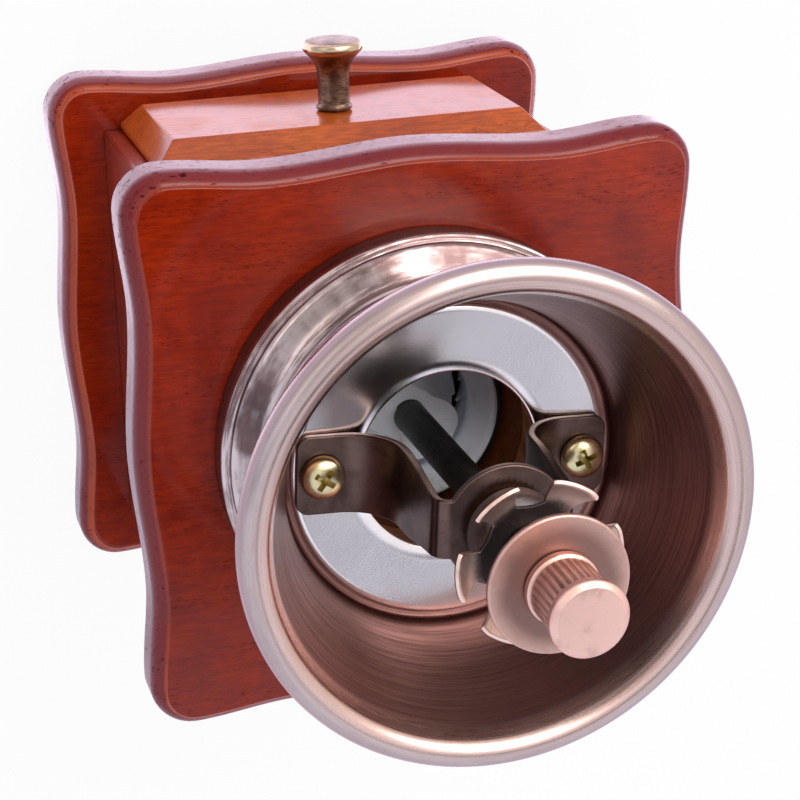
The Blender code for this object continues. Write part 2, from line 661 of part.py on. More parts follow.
def bowl_profile():
    """Section of the spun bowl, on its outside from the skirt to the rim and back on its inside."""
    outside = [(SKIRT_RADIUS, SEAT_GAP), (SKIRT_RADIUS, SKIRT_HEIGHT),
               (BEAD_RADIUS, BEAD_HEIGHT), (GROOVE_RADIUS, GROOVE_HEIGHT)]
    outside += curve((GROOVE_RADIUS, GROOVE_HEIGHT + SHEET / 2), (SHOULDER_RADIUS, SHOULDER_HEIGHT),
                     (WAIST_RADIUS, SHOULDER_HEIGHT + SHEET), (WAIST_RADIUS, WAIST_HEIGHT), 3)
    wall_top = (WALL_TOP_RADIUS, WALL_TOP_HEIGHT)
    outside += curve((WAIST_RADIUS, WAIST_HEIGHT), (BELLY_RADIUS, BELLY_HEIGHT),
                     (THROW_RADIUS, THROW_HEIGHT), wall_top, BOWL_CURVE_STEPS)
    lip_angle = math.atan2(LIP_HEIGHT - RIM_HEIGHT, LIP_RADIUS - RIM_RADIUS)
    roll = arc((RIM_RADIUS, RIM_HEIGHT), RIM_ROLL, math.radians(-105), lip_angle, RIM_STEPS)
    inside = curve((WAIST_RADIUS - SHEET, FLOOR_HEIGHT + SHEET),
                   (BELLY_RADIUS - SHEET, BELLY_HEIGHT), (THROW_RADIUS - SHEET, THROW_HEIGHT),
                   (LIP_RADIUS, LIP_HEIGHT), BOWL_CURVE_STEPS)
    inside.reverse()
    inside += [(WAIST_RADIUS - 2 * SHEET, FLOOR_HEIGHT), (FLOOR_HOLE, FLOOR_HEIGHT)]
    under_floor = FLOOR_HEIGHT - SHEET
    under_shoulder = curve((WAIST_RADIUS - SHEET, under_floor),
                           (WAIST_RADIUS, SHOULDER_HEIGHT),
                           (SHOULDER_RADIUS, SHOULDER_HEIGHT - SHEET),
                           (GROOVE_RADIUS - SHEET, GROOVE_HEIGHT - SHEET), 3)
    inner_skirt = SKIRT_RADIUS - SHEET
    under = [(FLOOR_HOLE, under_floor)] + under_shoulder
    under += [(inner_skirt, GROOVE_HEIGHT - 2 * SHEET), (inner_skirt, SEAT_GAP)]
    return outside + roll + inside + under


def plate_profile():
    """Section of the pressed plate, whose hole has a soft lip."""
    top = PLATE_THICK
    flat_in = PLATE_HOLE + PLATE_LIP
    return [(PLATE_RADIUS, 0.0), (PLATE_RADIUS, top), (flat_in, top),
            (PLATE_HOLE + PLATE_LIP / 3, top * (1 - PLATE_LIP_DROP_SHARE)),
            (PLATE_HOLE, top / 3), (PLATE_HOLE, 0.0)]


def build_hopper(copper, steel, wood, turn):
    """The bowl, its wooden riser and its plate, all pierced by the two bracket screws."""
    bowl = piece("hopper_bowl", turned(bowl_profile()), copper, (0.0, 0.0, TOP_FACE))
    riser_low = TOP_FACE + SEAT_GAP
    riser_top = TOP_FACE + FLOOR_HEIGHT - SHEET - SEAT_GAP
    riser_profile = [(RISER_RADIUS, 0.0), (RISER_RADIUS, riser_top - riser_low),
                     (BORE_RADIUS, riser_top - riser_low), (BORE_RADIUS, 0.0)]
    riser = piece("hopper_riser", turned(riser_profile), wood, (0.0, 0.0, riser_low))
    plate_low = TOP_FACE + FLOOR_HEIGHT + SEAT_GAP
    plate = piece("hopper_plate", turned(plate_profile()), steel, (0.0, 0.0, plate_low))
    places = [(-BRACKET_SCREW_PLACE, 0.0), (BRACKET_SCREW_PLACE, 0.0)]
    hole = drill("bracket_screw_hole_cutter", places, BRACKET_SCREW_RADIUS + SCREW_GAP,
                 TOP_FACE - BRACKET_SCREW_BITE - SEAT_GAP, plate_low + STRAP_REACH, turn)
    for thing in (bowl, riser, plate):
        cut(thing, hole)
    return hole, plate_low + PLATE_THICK


def filleted(corners, radii, steps):
    """A path in (reach, height) with its inner corners rounded."""
    path = [Vector(corners[0])]
    for before, corner, after, radius in zip(corners, corners[1:], corners[2:], radii):
        corner = Vector(corner)
        back = (Vector(before) - corner).normalized()
        ahead = (Vector(after) - corner).normalized()
        half = back.angle(ahead) / 2
        centre = corner + (back + ahead).normalized() * radius / math.sin(half)
        start = corner + back * radius / math.tan(half) - centre
        end = corner + ahead * radius / math.tan(half) - centre
        sweep = start.angle_signed(end)
        for step in range(steps + 1):
            turned_by = -sweep * step / steps
            path.append(centre + Vector((start.x * math.cos(turned_by) - start.y * math.sin(turned_by),
                                         start.x * math.sin(turned_by) + start.y * math.cos(turned_by))))
    path.append(Vector(corners[-1]))
    return path


def strap_half_width(reach, height, foot_height, hub_height):
    """The strap's half width: wide foot with round corners, tapered leg, round hub."""
    from_end = max(STRAP_REACH - reach, 0.0)
    if height > hub_height - SEAT_GAP and reach < HUB_RADIUS:
        return max(math.sqrt(HUB_RADIUS ** 2 - reach ** 2), NECK_HALF_WIDTH)
    if from_end < FOOT_CORNER:
        drop = FOOT_CORNER - math.sqrt(FOOT_CORNER ** 2 - (FOOT_CORNER - from_end) ** 2)
        return STRAP_HALF_WIDTH - drop
    up = (height - foot_height) / (hub_height - foot_height)
    tapered = ease((up - TAPER_START_SHARE) / (1 - TAPER_START_SHARE))
    return between(STRAP_HALF_WIDTH, NECK_HALF_WIDTH, tapered)


def bracket_shape(foot_low, hub_top):
    """A strap lofted along its side view: foot, leg, hub, and the same again mirrored."""
    foot_height = foot_low + STRAP_THICK / 2
    hub_height = hub_top - STRAP_THICK / 2
    path = filleted([(STRAP_REACH, foot_height), (LEG_PLACE, foot_height), (LEG_PLACE, hub_height),
                     (0.0, hub_height)], (FOOT_BEND, NECK_BEND), BEND_STEPS)
    corner_reaches = [STRAP_REACH - FOOT_CORNER * share for share in FOOT_CORNER_SHARES]
    hub_reaches = [HUB_RADIUS * share for share in HUB_REACH_SHARES]
    stations = path[:1] + [Vector((reach, foot_height)) for reach in corner_reaches]
    stations += path[1:-1] + [Vector((reach, hub_height)) for reach in hub_reaches]
    mirrored = [Vector((-point.x, point.y)) for point in reversed(stations)]
    stations += [path[-1]] + mirrored
    rings = []
    for index, point in enumerate(stations):
        before = stations[max(index - 1, 0)]
        after = stations[min(index + 1, len(stations) - 1)]
        along = (after - before).normalized()
        out = Vector((-along.y, along.x)) * STRAP_THICK / 2
        half = strap_half_width(abs(point.x), point.y, foot_height, hub_height)
        low = point - out
        high = point + out
        rings.append([Vector((low.x, -half, low.y)), Vector((low.x, half, low.y)),
                      Vector((high.x, half, high.y)), Vector((high.x, -half, high.y))])
    return loft(rings)


def build_bracket(copper, zinc, bronze, turn, screw_holes, plate_top):
    """The bridge bracket, its two screws and the bush in its hub."""
    foot_low = plate_top + SEAT_GAP
    bracket = piece("bridge_bracket", bracket_shape(foot_low, HUB_TOP), copper, parent=turn)
    cut(bracket, screw_holes)
    hub_hole = drill("hub_hole_cutter", [(0.0, 0.0)], BUSH_RADIUS + SEAT_GAP,
                     HUB_TOP - BUSH_DROP, HUB_TOP + CUT_OVERRUN, steps=ROD_STEPS)
    cut(bracket, hub_hole)
    head_low = foot_low + STRAP_THICK + SEAT_GAP
    length = head_low - TOP_FACE + BRACKET_SCREW_BITE
    for name, way in (("bracket_screw_left", -1), ("bracket_screw_right", 1)):
        shape = domed_screw(BRACKET_SCREW_RADIUS, BRACKET_SCREW_HEAD, BRACKET_SCREW_HEAD_HIGH,
                            length)
        piece(name, shape, zinc, (way * BRACKET_SCREW_PLACE, 0.0, head_low), turn)
    bore = SPINDLE_RADIUS + RUN_GAP
    flange_low = HUB_TOP + SEAT_GAP
    bush_profile = [(bore, -BUSH_DROP), (BUSH_RADIUS, -BUSH_DROP), (BUSH_RADIUS, 0.0),
                    (BUSH_FLANGE_RADIUS, 0.0), (BUSH_FLANGE_RADIUS, BUSH_FLANGE_THICK),
                    (bore, BUSH_FLANGE_THICK)]
    piece("spindle_bush", turned(bush_profile, ROD_STEPS), bronze, (0.0, 0.0, flange_low))


def build_collar(steel, parent):
    """The drive collar, keyed on the spindle's flats."""
    bore = SPINDLE_RADIUS + KEY_GAP
    across = FLAT_ACROSS + 2 * KEY_GAP
    height = COLLAR_HEIGHT
    slim = COLLAR_RADIUS - COLLAR_CHAMFER
    rings = [flatted_ring(bore, across, 2, 0.0), round_ring(slim, 0.0, ROD_STEPS),
             round_ring(COLLAR_RADIUS, COLLAR_CHAMFER, ROD_STEPS),
             round_ring(COLLAR_RADIUS, height - COLLAR_CHAMFER, ROD_STEPS),
             round_ring(slim, height, ROD_STEPS), flatted_ring(bore, across, 2, height)]
    piece("drive_collar", loft(rings, joined=True), steel, (0.0, 0.0, COLLAR_LOW), parent)


def cog_sheet():
    """The cog's upper skin: a flat ring with petals that curl upwards and spread into horns."""
    shape = bmesh.new()
    pitch = math.tau / COG_PETALS
    inner = []
    root = []
    petals = []
    for petal in range(COG_PETALS):
        middle = COG_TURN + petal * pitch
        start = len(root)
        angles = [middle + PETAL_ROOT_HALF * (2 * i / PETAL_STEPS - 1) for i in range(PETAL_STEPS + 1)]
        gap = pitch - 2 * PETAL_ROOT_HALF
        angles += [angles[-1] + gap * i / NOTCH_STEPS for i in range(1, NOTCH_STEPS)]
        for angle in angles:
            heading = Vector((math.cos(angle), math.sin(angle), 0.0))
            inner.append(shape.verts.new(heading * COG_HOLE))
            root.append(shape.verts.new(heading * COG_ROOT_RADIUS))
        petals.append((middle, root[start:start + PETAL_STEPS + 1]))
    for index in range(len(root)):
        after = (index + 1) % len(root)
        shape.faces.new((inner[index], root[index], root[after], inner[after]))
    for middle, row in petals:
        for ring in range(1, PETAL_RINGS + 1):
            share = ring / PETAL_RINGS
            spread = math.sin(share * math.pi / 2) ** PETAL_CURL_SHARE
            radius = between(COG_ROOT_RADIUS, COG_RADIUS, spread)
            height = COG_RISE * (1 - math.cos(share * math.pi / 2))
            half = between(PETAL_ROOT_HALF, PETAL_TIP_HALF, share ** 2)
            upper = []
            for i in range(PETAL_STEPS + 1):
                angle = middle + half * (2 * i / PETAL_STEPS - 1)
                upper.append(shape.verts.new((radius * math.cos(angle), radius * math.sin(angle),
                                              height)))
            for i in range(PETAL_STEPS):
                shape.faces.new((row[i], upper[i], upper[i + 1], row[i + 1]))
            row = upper
    return shape


def build_cog(copper, steel, parent):
    """The cog's threaded hub and the pressed petals that it carries."""
    bore = SPINDLE_RADIUS + THREAD_GAP
    flange = COG_FLANGE_LOW - COG_HUB_LOW
    top = COG_HUB_TOP - COG_HUB_LOW
    profile = [(bore, 0.0), (HUB_SPIGOT_RADIUS, 0.0), (HUB_SPIGOT_RADIUS, flange),
               (COG_HUB_RADIUS, flange), (COG_HUB_RADIUS, top), (bore, top)]
    piece("cog_hub", turned(profile, ROD_STEPS), steel, (0.0, 0.0, COG_HUB_LOW), parent)
    cog = piece("cog_wheel", cog_sheet(), copper, (0.0, 0.0, COG_LOW), parent)
    thickness = cog.modifiers.new("sheet", 'SOLIDIFY')
    thickness.thickness = COG_SHEET
    thickness.offset = 1.0


def spindle_shape():
    """The spindle from its foot thread to its top thread, in its own frame from the foot up."""
    foot = BURR_NUT_LOW - FOOT_THREAD_SPARE
    burr_low = BURR_LOW - SEAT_GAP - foot
    burr_top = BURR_TOP + SEAT_GAP - foot
    flats_low = COLLAR_LOW - FLAT_RUN_OUT - SEAT_GAP - foot
    square_low = SQUARE_LOW - foot
    square_top = SQUARE_TOP - foot
    top = square_top + TOP_THREAD_LENGTH
    chamfer = SPINDLE_END_CHAMFER
    rod = SPINDLE_RADIUS
    thread = FOOT_THREAD_RADIUS
    rings = [round_ring(thread - chamfer, 0.0, ROD_STEPS), round_ring(thread, chamfer, ROD_STEPS),
             round_ring(thread, burr_low, ROD_STEPS), flatted_ring(rod, FLAT_ACROSS, 2, burr_low),
             flatted_ring(rod, FLAT_ACROSS, 2, burr_top), round_ring(rod, burr_top, ROD_STEPS),
             round_ring(rod, flats_low, ROD_STEPS), flatted_ring(rod, FLAT_ACROSS, 2, flats_low),
             flatted_ring(rod, FLAT_ACROSS, 2, square_low),
             flatted_ring(rod, SQUARE_ACROSS, 4, square_low + chamfer),
             flatted_ring(rod, SQUARE_ACROSS, 4, square_top),
             round_ring(TOP_THREAD_RADIUS, square_top, ROD_STEPS),
             round_ring(TOP_THREAD_RADIUS, top - chamfer, ROD_STEPS),
             round_ring(TOP_THREAD_RADIUS - chamfer, top, ROD_STEPS)]
    return loft(rings), foot


def burr_radius(angle, share):
    """Radius of the turning burr: toothed skirt below, broad twisted vanes above."""
    reach = between(BURR_SKIRT_RADIUS, BURR_TOP_REACH, share)
    up = max(share - BURR_CORE_START_SHARE, 0.0) / (1 - BURR_CORE_START_SHARE)
    core = between(reach, BURR_CORE_RADIUS, math.sin(up * math.pi / 2))
    swing = math.cos(BURR_VANES * (angle - BURR_VANE_TWIST * share))
    vane = ease((swing + 1) / 2)
    tooth_phase = (angle + BURR_TOOTH_LEAN * share) * BURR_TEETH / math.tau % 1.0
    groove = BURR_TOOTH_DEPTH * tooth_phase * (1 - ease(up))
    return between(core, reach, vane) - groove


def build_spindle_group(dark_steel, steel, ceramic, parent):
    """The spindle with the turning burr, its washer and its nut."""
    shape, foot = spindle_shape()
    piece("spindle", shape, dark_steel, (0.0, 0.0, foot), parent)
    bore = SPINDLE_RADIUS + KEY_GAP
    across = FLAT_ACROSS + 2 * KEY_GAP
    rings = [flatted_ring(bore, across, 2, 0.0, BURR_POINTS)]
    for share in BURR_LEVEL_SHARES:
        ring = []
        for index in range(BURR_POINTS):
            angle = math.tau * index / BURR_POINTS
            radius = burr_radius(angle, share)
            ring.append(Vector((radius * math.cos(angle), radius * math.sin(angle),
                                BURR_HEIGHT * share)))
        rings.append(ring)
    rings.append(flatted_ring(bore, across, 2, BURR_HEIGHT, BURR_POINTS))
    piece("inner_burr", loft(rings, joined=True), ceramic, (0.0, 0.0, BURR_LOW), parent)

    hole = FOOT_THREAD_RADIUS + THREAD_GAP
    washer_profile = [(hole, 0.0), (BURR_WASHER_RADIUS, 0.0),
                      (BURR_WASHER_RADIUS, BURR_WASHER_THICK), (hole, BURR_WASHER_THICK)]
    piece("burr_washer", turned(washer_profile, ROD_STEPS), steel,
          (0.0, 0.0, BURR_WASHER_LOW), parent)
    wide = BURR_NUT_ACROSS / 2 / math.cos(math.pi / 6)
    hexagon = [flatted_ring(wide, BURR_NUT_ACROSS, 6, height)
               for height in (0.0, BURR_NUT_HEIGHT)]
    nut_rings = [round_ring(hole, 0.0, ROD_STEPS)] + hexagon
    nut_rings.append(round_ring(hole, BURR_NUT_HEIGHT, ROD_STEPS))
    piece("burr_nut", loft(nut_rings, joined=True), steel, (0.0, 0.0, BURR_NUT_LOW), parent)


def build_ring_burr(ceramic):
    """The fixed burr: a funnel mouth, a throat and leaning teeth that open downwards."""
    count = RING_TEETH * 3
    throat_height = RING_HEIGHT * THROAT_SHARE
    skirt = BURR_SKIRT_RADIUS + BURR_GAP

    def toothed(radius, height, depth, lean):
        ring = []
        for index in range(count):
            angle = math.tau * index / count
            groove = depth * (index % 3) / 2
            ring.append(Vector(((radius + groove) * math.cos(angle + lean),
                                (radius + groove) * math.sin(angle + lean), height)))
        return ring

    rings = [toothed(skirt, 0.0, RING_TOOTH_DEPTH, 0.0),
             toothed(between(skirt, THROAT_RADIUS, 0.5), throat_height / 2, RING_TOOTH_DEPTH,
                     BURR_TOOTH_LEAN / 2),
             toothed(THROAT_RADIUS, throat_height, 0.0, BURR_TOOTH_LEAN),
             toothed(RING_MOUTH_RADIUS, RING_HEIGHT, 0.0, BURR_TOOTH_LEAN),
             toothed(RING_RADIUS, RING_HEIGHT, 0.0, BURR_TOOTH_LEAN),
             toothed(RING_RADIUS, 0.0, 0.0, 0.0)]
    piece("ring_burr", loft(rings, joined=True), ceramic, (0.0, 0.0, RING_LOW))


def build_holder(plastic, steel, top_board):
    """The holder under the top board, which the ring burr stands in, and its screws."""
    inner = RING_RADIUS + SEAT_GAP
    sleeve = inner + HOLDER_WALL
    flange_top = TOP_LOW - SEAT_GAP
    flange_low = flange_top - HOLDER_FLANGE_THICK
    seat = RING_LOW - SEAT_GAP
    foot = seat - HOLDER_LIP_THICK
    barrel = inner + HOLDER_BARREL_WALL
    lip = RING_RADIUS - HOLDER_LIP_REACH
    sleeve_top = RING_TOP - HOLDER_SLEEVE_DROP
    profile = [(sleeve, sleeve_top), (sleeve, flange_top), (HOLDER_FLANGE_RADIUS, flange_top),
               (HOLDER_FLANGE_RADIUS, flange_low), (barrel, flange_low), (barrel, foot),
               (lip, foot), (lip, seat), (inner, seat), (inner, sleeve_top)]
    local = [(radius, height - flange_top) for radius, height in profile]
    holder = piece("burr_holder", turned(local), plastic, (0.0, 0.0, flange_top))
    places = []
    for index in range(HOLDER_SCREWS):
        angle = math.pi / 2 + math.tau * index / HOLDER_SCREWS
        places.append((HOLDER_SCREW_PLACE * math.cos(angle), HOLDER_SCREW_PLACE * math.sin(angle)))
    pilot_top = TOP_LOW + HOLDER_SCREW_BITE + SEAT_GAP
    holes = drill("holder_screw_hole_cutter", places, HOLDER_SCREW_RADIUS + SCREW_GAP,
                  flange_low - CUT_OVERRUN, pilot_top)
    cut(holder, holes)
    cut(top_board, holes)
    head_low = flange_low - SEAT_GAP
    length = TOP_LOW + HOLDER_SCREW_BITE - head_low
    for index, (x, y) in enumerate(places):
        shape = domed_screw(HOLDER_SCREW_RADIUS, HOLDER_SCREW_HEAD, HOLDER_SCREW_HEAD_HIGH, length)
        screw = piece("holder_screw_" + str(index + 1), shape, steel, (x, y, head_low))
        screw.rotation_euler = (math.pi, 0.0, 0.0)


def build_clamp(copper, washer_pivot, nut_pivot):
    """The washer and the thumb nut, with its knurled band and smooth cap."""
    edge = WASHER_EDGE
    washer_profile = [(WASHER_HOLE, 0.0), (WASHER_RADIUS - edge, 0.0), (WASHER_RADIUS, edge),
                      (WASHER_RADIUS, WASHER_THICK - edge), (WASHER_RADIUS - edge, WASHER_THICK),
                      (WASHER_HOLE, WASHER_THICK)]
    piece("crank_washer", turned(washer_profile), copper, (0.0, 0.0, WASHER_LOW), washer_pivot)
    count = 2 * NUT_RIDGES
    knurl_low = NUT_COLLAR_HEIGHT + NUT_CAP_EDGE / 2
    knurl_top = knurl_low + NUT_KNURL_LENGTH
    top = knurl_top + NUT_CAP_HEIGHT
    bore = TOP_THREAD_RADIUS + NUT_BORE_GAP

    def knurled(height):
        ring = round_ring(NUT_KNURL_RADIUS, height, count)
        return [point if index % 2 else Vector((point.x, point.y, point.z)) -
                Vector((point.x, point.y, 0.0)).normalized() * NUT_KNURL_DEPTH
                for index, point in enumerate(ring)]

    rings = [round_ring(bore, top - NUT_ROOF, count), round_ring(bore, 0.0, count),
             round_ring(NUT_COLLAR_RADIUS, 0.0, count),
             round_ring(NUT_COLLAR_RADIUS, NUT_COLLAR_HEIGHT, count),
             knurled(knurl_low), knurled(knurl_top),
             round_ring(NUT_CAP_RADIUS, knurl_top + NUT_CAP_EDGE / 2, count),
             round_ring(NUT_CAP_RADIUS, top - NUT_CAP_EDGE, count),
             round_ring(NUT_CAP_RADIUS - NUT_CAP_EDGE, top, count)]
    piece("thumb_nut", loft(rings), copper, (0.0, 0.0, NUT_LOW), nut_pivot)


def build_grinder():
    for thing in list(bpy.data.objects):
        bpy.data.objects.remove(thing, do_unlink=True)
    wood = finish("stained_wood", 0.28, 0.035, 0.012, 0.32)
    raw_wood = finish("plain_wood", 0.62, 0.42, 0.24, 0.6)
    felt = finish("dark_felt", 0.03, 0.028, 0.025, 0.95)
    copper = finish("antique_copper", 0.52, 0.30, 0.23, 0.33, 1.0)
    light_copper = finish("brushed_copper", 0.72, 0.46, 0.36, 0.38, 1.0)
    nickel = finish("satin_nickel", 0.66, 0.64, 0.62, 0.25, 1.0)
    steel = finish("steel", 0.55, 0.55, 0.56, 0.35, 1.0)
    dark_steel = finish("blackened_steel", 0.03, 0.03, 0.035, 0.4, 0.8)
    zinc = finish("yellow_zinc", 0.62, 0.47, 0.17, 0.25, 1.0)
    brass = finish("antique_brass", 0.38, 0.27, 0.16, 0.35, 1.0)
    bronze = finish("bronze", 0.5, 0.34, 0.17, 0.4, 1.0)
    ceramic = finish("white_ceramic", 0.85, 0.85, 0.83, 0.3)
    plastic = finish("black_plastic", 0.02, 0.02, 0.02, 0.5)

    base, top_board = build_boards(wood, felt)
    sides = build_box(wood)
    build_base_screws(steel, base, sides)
    build_drawer(wood, brass, steel)

    strap_turn = pivot("strap_turn", 0.0, STRAP_TURN)
    screw_holes, plate_top = build_hopper(copper, nickel, raw_wood, strap_turn)
    cut(top_board, screw_holes)
    build_bracket(copper, zinc, bronze, strap_turn, screw_holes, plate_top)

    build_ring_burr(ceramic)
    build_holder(plastic, steel, top_board)

    crank_turn = pivot("crank_turn", COLLAR_LOW)
    build_collar(steel, crank_turn)
    build_cog(light_copper, steel, pivot("grind_turn", COG_LOW))
    build_spindle_group(dark_steel, steel, ceramic, pivot("spindle_lift", BURR_LOW))
    build_clamp(light_copper, pivot("washer_lift", WASHER_LOW), pivot("nut_turn", NUT_LOW))


build_grinder()
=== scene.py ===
"""Looks of the hand coffee grinder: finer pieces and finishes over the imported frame."""
import math

import bmesh
import bpy
from mathutils import Matrix, Vector


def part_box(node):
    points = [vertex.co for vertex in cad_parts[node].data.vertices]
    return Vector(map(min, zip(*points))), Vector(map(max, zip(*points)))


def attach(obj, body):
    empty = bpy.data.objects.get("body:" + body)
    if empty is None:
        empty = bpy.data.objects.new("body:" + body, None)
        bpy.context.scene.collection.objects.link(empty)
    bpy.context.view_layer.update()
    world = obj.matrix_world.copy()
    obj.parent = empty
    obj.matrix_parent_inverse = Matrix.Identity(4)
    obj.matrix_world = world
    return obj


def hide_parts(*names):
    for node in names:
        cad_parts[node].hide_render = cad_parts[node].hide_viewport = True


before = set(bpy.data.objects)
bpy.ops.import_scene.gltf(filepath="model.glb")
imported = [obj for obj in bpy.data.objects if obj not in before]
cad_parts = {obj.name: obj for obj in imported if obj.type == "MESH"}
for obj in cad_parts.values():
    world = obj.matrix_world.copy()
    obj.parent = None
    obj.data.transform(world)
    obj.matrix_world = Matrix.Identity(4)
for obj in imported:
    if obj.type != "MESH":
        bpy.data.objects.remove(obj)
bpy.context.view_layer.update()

TOP = Vector((0.0, 0.0, 1.0))

# Sizes of the boards
BOARD_HALF = 0.055
SIDE_CREST = 0.00034
SIDE_DIP = 0.00147
DIP_SHARE = 0.503
CORNER_RADIUS = 0.0083
ROUND_REACH = 0.00215
ROUND_ANGLE = math.radians(56)
FACE_STEP = 0.0006
UNDER_ROUND = 0.0016
FELT_INSET = 0.005
BORE_RADIUS = 0.0195
TOP_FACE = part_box("top_board")[1].z
BASE_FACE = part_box("base_board")[1].z

# Sizes of the bowl, over the top board
SHEET = 0.0011
SEAT_GAP = 0.0003
FLOOR_HEIGHT = 0.0136
FLOOR_HOLE = 0.0198
RIM_RADIUS = 0.0441
RIM_HEIGHT = 0.0435
RIM_ROLL = 0.00295

# Sizes of the bracket
STRAP_TURN = -0.060
STRAP_THICK = 0.0015
STRAP_REACH = 0.0296
STRAP_HALF = 0.00755
NECK_HALF = 0.0053
LEG_PLACE = 0.0122
HUB_RADIUS = 0.0112
FOOT_BEND = 0.0092
NECK_BEND = 0.0024
FOOT_CORNER = 0.0025
SCREW_PLACE = 0.0250
STRAP_SOFT = 0.00034
HUB_HOLE = 0.0052
FOOT_HOLE = 0.00225

# Sizes of the spindle and what it carries
ROD_RADIUS = 0.0032
FLAT_ACROSS = 0.0048
ROD_BORE = ROD_RADIUS + 0.00015
FLAT_BORE = FLAT_ACROSS + 0.0003
PETALS = 6
COG_TURN = math.radians(2.5)
COG_HOLE = 0.0049
COG_MIDDLE = 0.0078
COG_ROOT = 0.0095
COG_TIP = 0.0150
COG_RISE = 0.0042
COG_SHEET = 0.0010
PETAL_REACH_POWER = 0.9
PETAL_RISE_POWER = 1.6
PETAL_ROOT_HALF = math.radians(15)
PETAL_TIP_HALF = math.radians(18.5)
BURR_TOP = TOP_FACE - 0.0098
BURR_HEIGHT = 0.0162
BURR_SKIRT = 0.0144
BURR_REACH = 0.0104
BURR_CORE = 0.0058
BURR_TEETH = 16
RING_TEETH = 22
TOOTH_DEPTH = 0.0007
TOOTH_LEAN = math.radians(22)
VANE_TWIST = math.radians(150)


# Finishes

def tone(red, green, blue):
    """A colour from the 0 to 255 that a picture shows."""
    parts = []
    for part in (red, green, blue):
        share = part / 255
        parts.append(share / 12.92 if share <= 0.04045 else ((share + 0.055) / 1.055) ** 2.4)
    return (*parts, 1.0)


class Wire:
    """A value running between a finish's nodes; plain sums on it add Math nodes."""

    def __init__(self, painter, socket):
        self.painter = painter
        self.socket = socket

    def sum(self, operation, *values):
        return self.painter.sum(operation, *values)

    def __add__(self, other):
        return self.sum("ADD", self, other)

    def __sub__(self, other):
        return self.sum("SUBTRACT", self, other)

    def __mul__(self, other):
        return self.sum("MULTIPLY", self, other)

    def __truediv__(self, other):
        return self.sum("DIVIDE", self, other)

    def __pow__(self, other):
        return self.sum("POWER", self, other)

    def __radd__(self, other):
        return self.sum("ADD", other, self)

    def __rsub__(self, other):
        return self.sum("SUBTRACT", other, self)

    def __rmul__(self, other):
        return self.sum("MULTIPLY", other, self)


class Painter:
    """Short ways to add nodes to a tree."""

    def __init__(self, tree):
        self.tree = tree

    def node(self, kind, settings=None, inputs=None, output=0):
        """Any node: its settings first, then the values or wires of its sockets."""
        made = self.tree.nodes.new(kind)
        for name, value in (settings or {}).items():
            if name == "stops":
                for index, (place, shade) in enumerate(value):
                    stops = made.color_ramp.elements
                    stop = stops[index] if index < 2 else stops.new(place)
                    stop.position = place
                    stop.color = shade
            else:
                setattr(made, name, value)
        for name, value in (inputs or {}).items():
            self.feed(made.inputs[name], value)
        return Wire(self, made.outputs[output])

    def sum(self, operation, *values):
        return self.node("ShaderNodeMath", {"operation": operation}, dict(enumerate(values)))

    def feed(self, socket, value):
        if isinstance(value, Wire):
            self.tree.links.new(value.socket, socket)
        else:
            socket.default_value = value

    def place(self):
        return self.node("ShaderNodeTexCoord", output="Object")

    def parts(self, vector):
        """The three parts of a vector."""
        x = self.node("ShaderNodeSeparateXYZ", {}, {0: vector})
        source = x.socket.node
        return x, Wire(self, source.outputs[1]), Wire(self, source.outputs[2])

    def joined(self, x, y, z):
        return self.node("ShaderNodeCombineXYZ", {}, {0: x, 1: y, 2: z})

    def scaled(self, vector, by):
        return self.node("ShaderNodeVectorMath", {"operation": "MULTIPLY"}, {0: vector, 1: by})

    def noise(self, where, scale=1.0, detail=2.0, rough=0.5, warp=0.0):
        return self.node("ShaderNodeTexNoise", {}, {
            "Vector": where, "Scale": scale, "Detail": detail, "Roughness": rough,
            "Distortion": warp})

    def cells(self, where, scale=1.0):
        """Distance to the nearest of scattered points."""
        return self.node("ShaderNodeTexVoronoi", {}, {"Vector": where, "Scale": scale})

    def span(self, across, up):
        """Distance from an axis; never quite 0, so that it can divide."""
        return (across * across + up * up + 1e-9) ** 0.5

    def round_axis(self, across, up, radius, along, turns, rings):
        """Where a pattern is looked up that runs round an axis."""
        return self.joined(across / radius * turns, up / radius * turns, along * rings)

    def step(self, value, low, high):
        """0 below low, 1 above high, smooth between."""
        return self.node("ShaderNodeMapRange", {"interpolation_type": "SMOOTHSTEP"}, {
            "Value": value, "From Min": low, "From Max": high, "To Min": 0.0, "To Max": 1.0})

    def mix(self, share, first, second, blend="MIX"):
        """A colour between two."""
        return self.node("ShaderNodeMix", {"data_type": "RGBA", "blend_type": blend},
                         {0: share, 6: first, 7: second}, 2)

    def ramp(self, value, *stops):
        return self.node("ShaderNodeValToRGB", {"stops": stops}, {0: value})

    def bump(self, height, deep, strength=1.0, under=None):
        inputs = {"Height": height, "Distance": deep, "Strength": strength}
        if under is not None:
            inputs["Normal"] = under
        return self.node("ShaderNodeBump", {}, inputs)

    def rays(self, *kinds):
        """Whether a ray is of each of these kinds."""
        path = self.tree.nodes.new("ShaderNodeLightPath")
        return [Wire(self, path.outputs[f"Is {kind} Ray"]) for kind in kinds]


class Finish(Painter):
    """A material and the nodes that paint it."""

    def __init__(self, name, **fixed):
        self.material = bpy.data.materials.new(name)
        self.material.use_nodes = True
        super().__init__(self.material.node_tree)
        self.shader = self.tree.nodes["Principled BSDF"]
        for socket, value in fixed.items():
            self.shader.inputs[socket.replace("_", " ")].default_value = value

    def paint(self, **values):
        for name, value in values.items():
            self.feed(self.shader.inputs[name.replace("_", " ")], value)
        return self.material


RED_STAIN = ((98, 17, 4), (138, 31, 5), (158, 42, 8), (176, 58, 14))
ORANGE_STAIN = ((160, 58, 12), (200, 82, 18), (216, 98, 26), (228, 116, 38))
STAIN_STOPS = (0.34, 0.50, 0.62, 0.78)


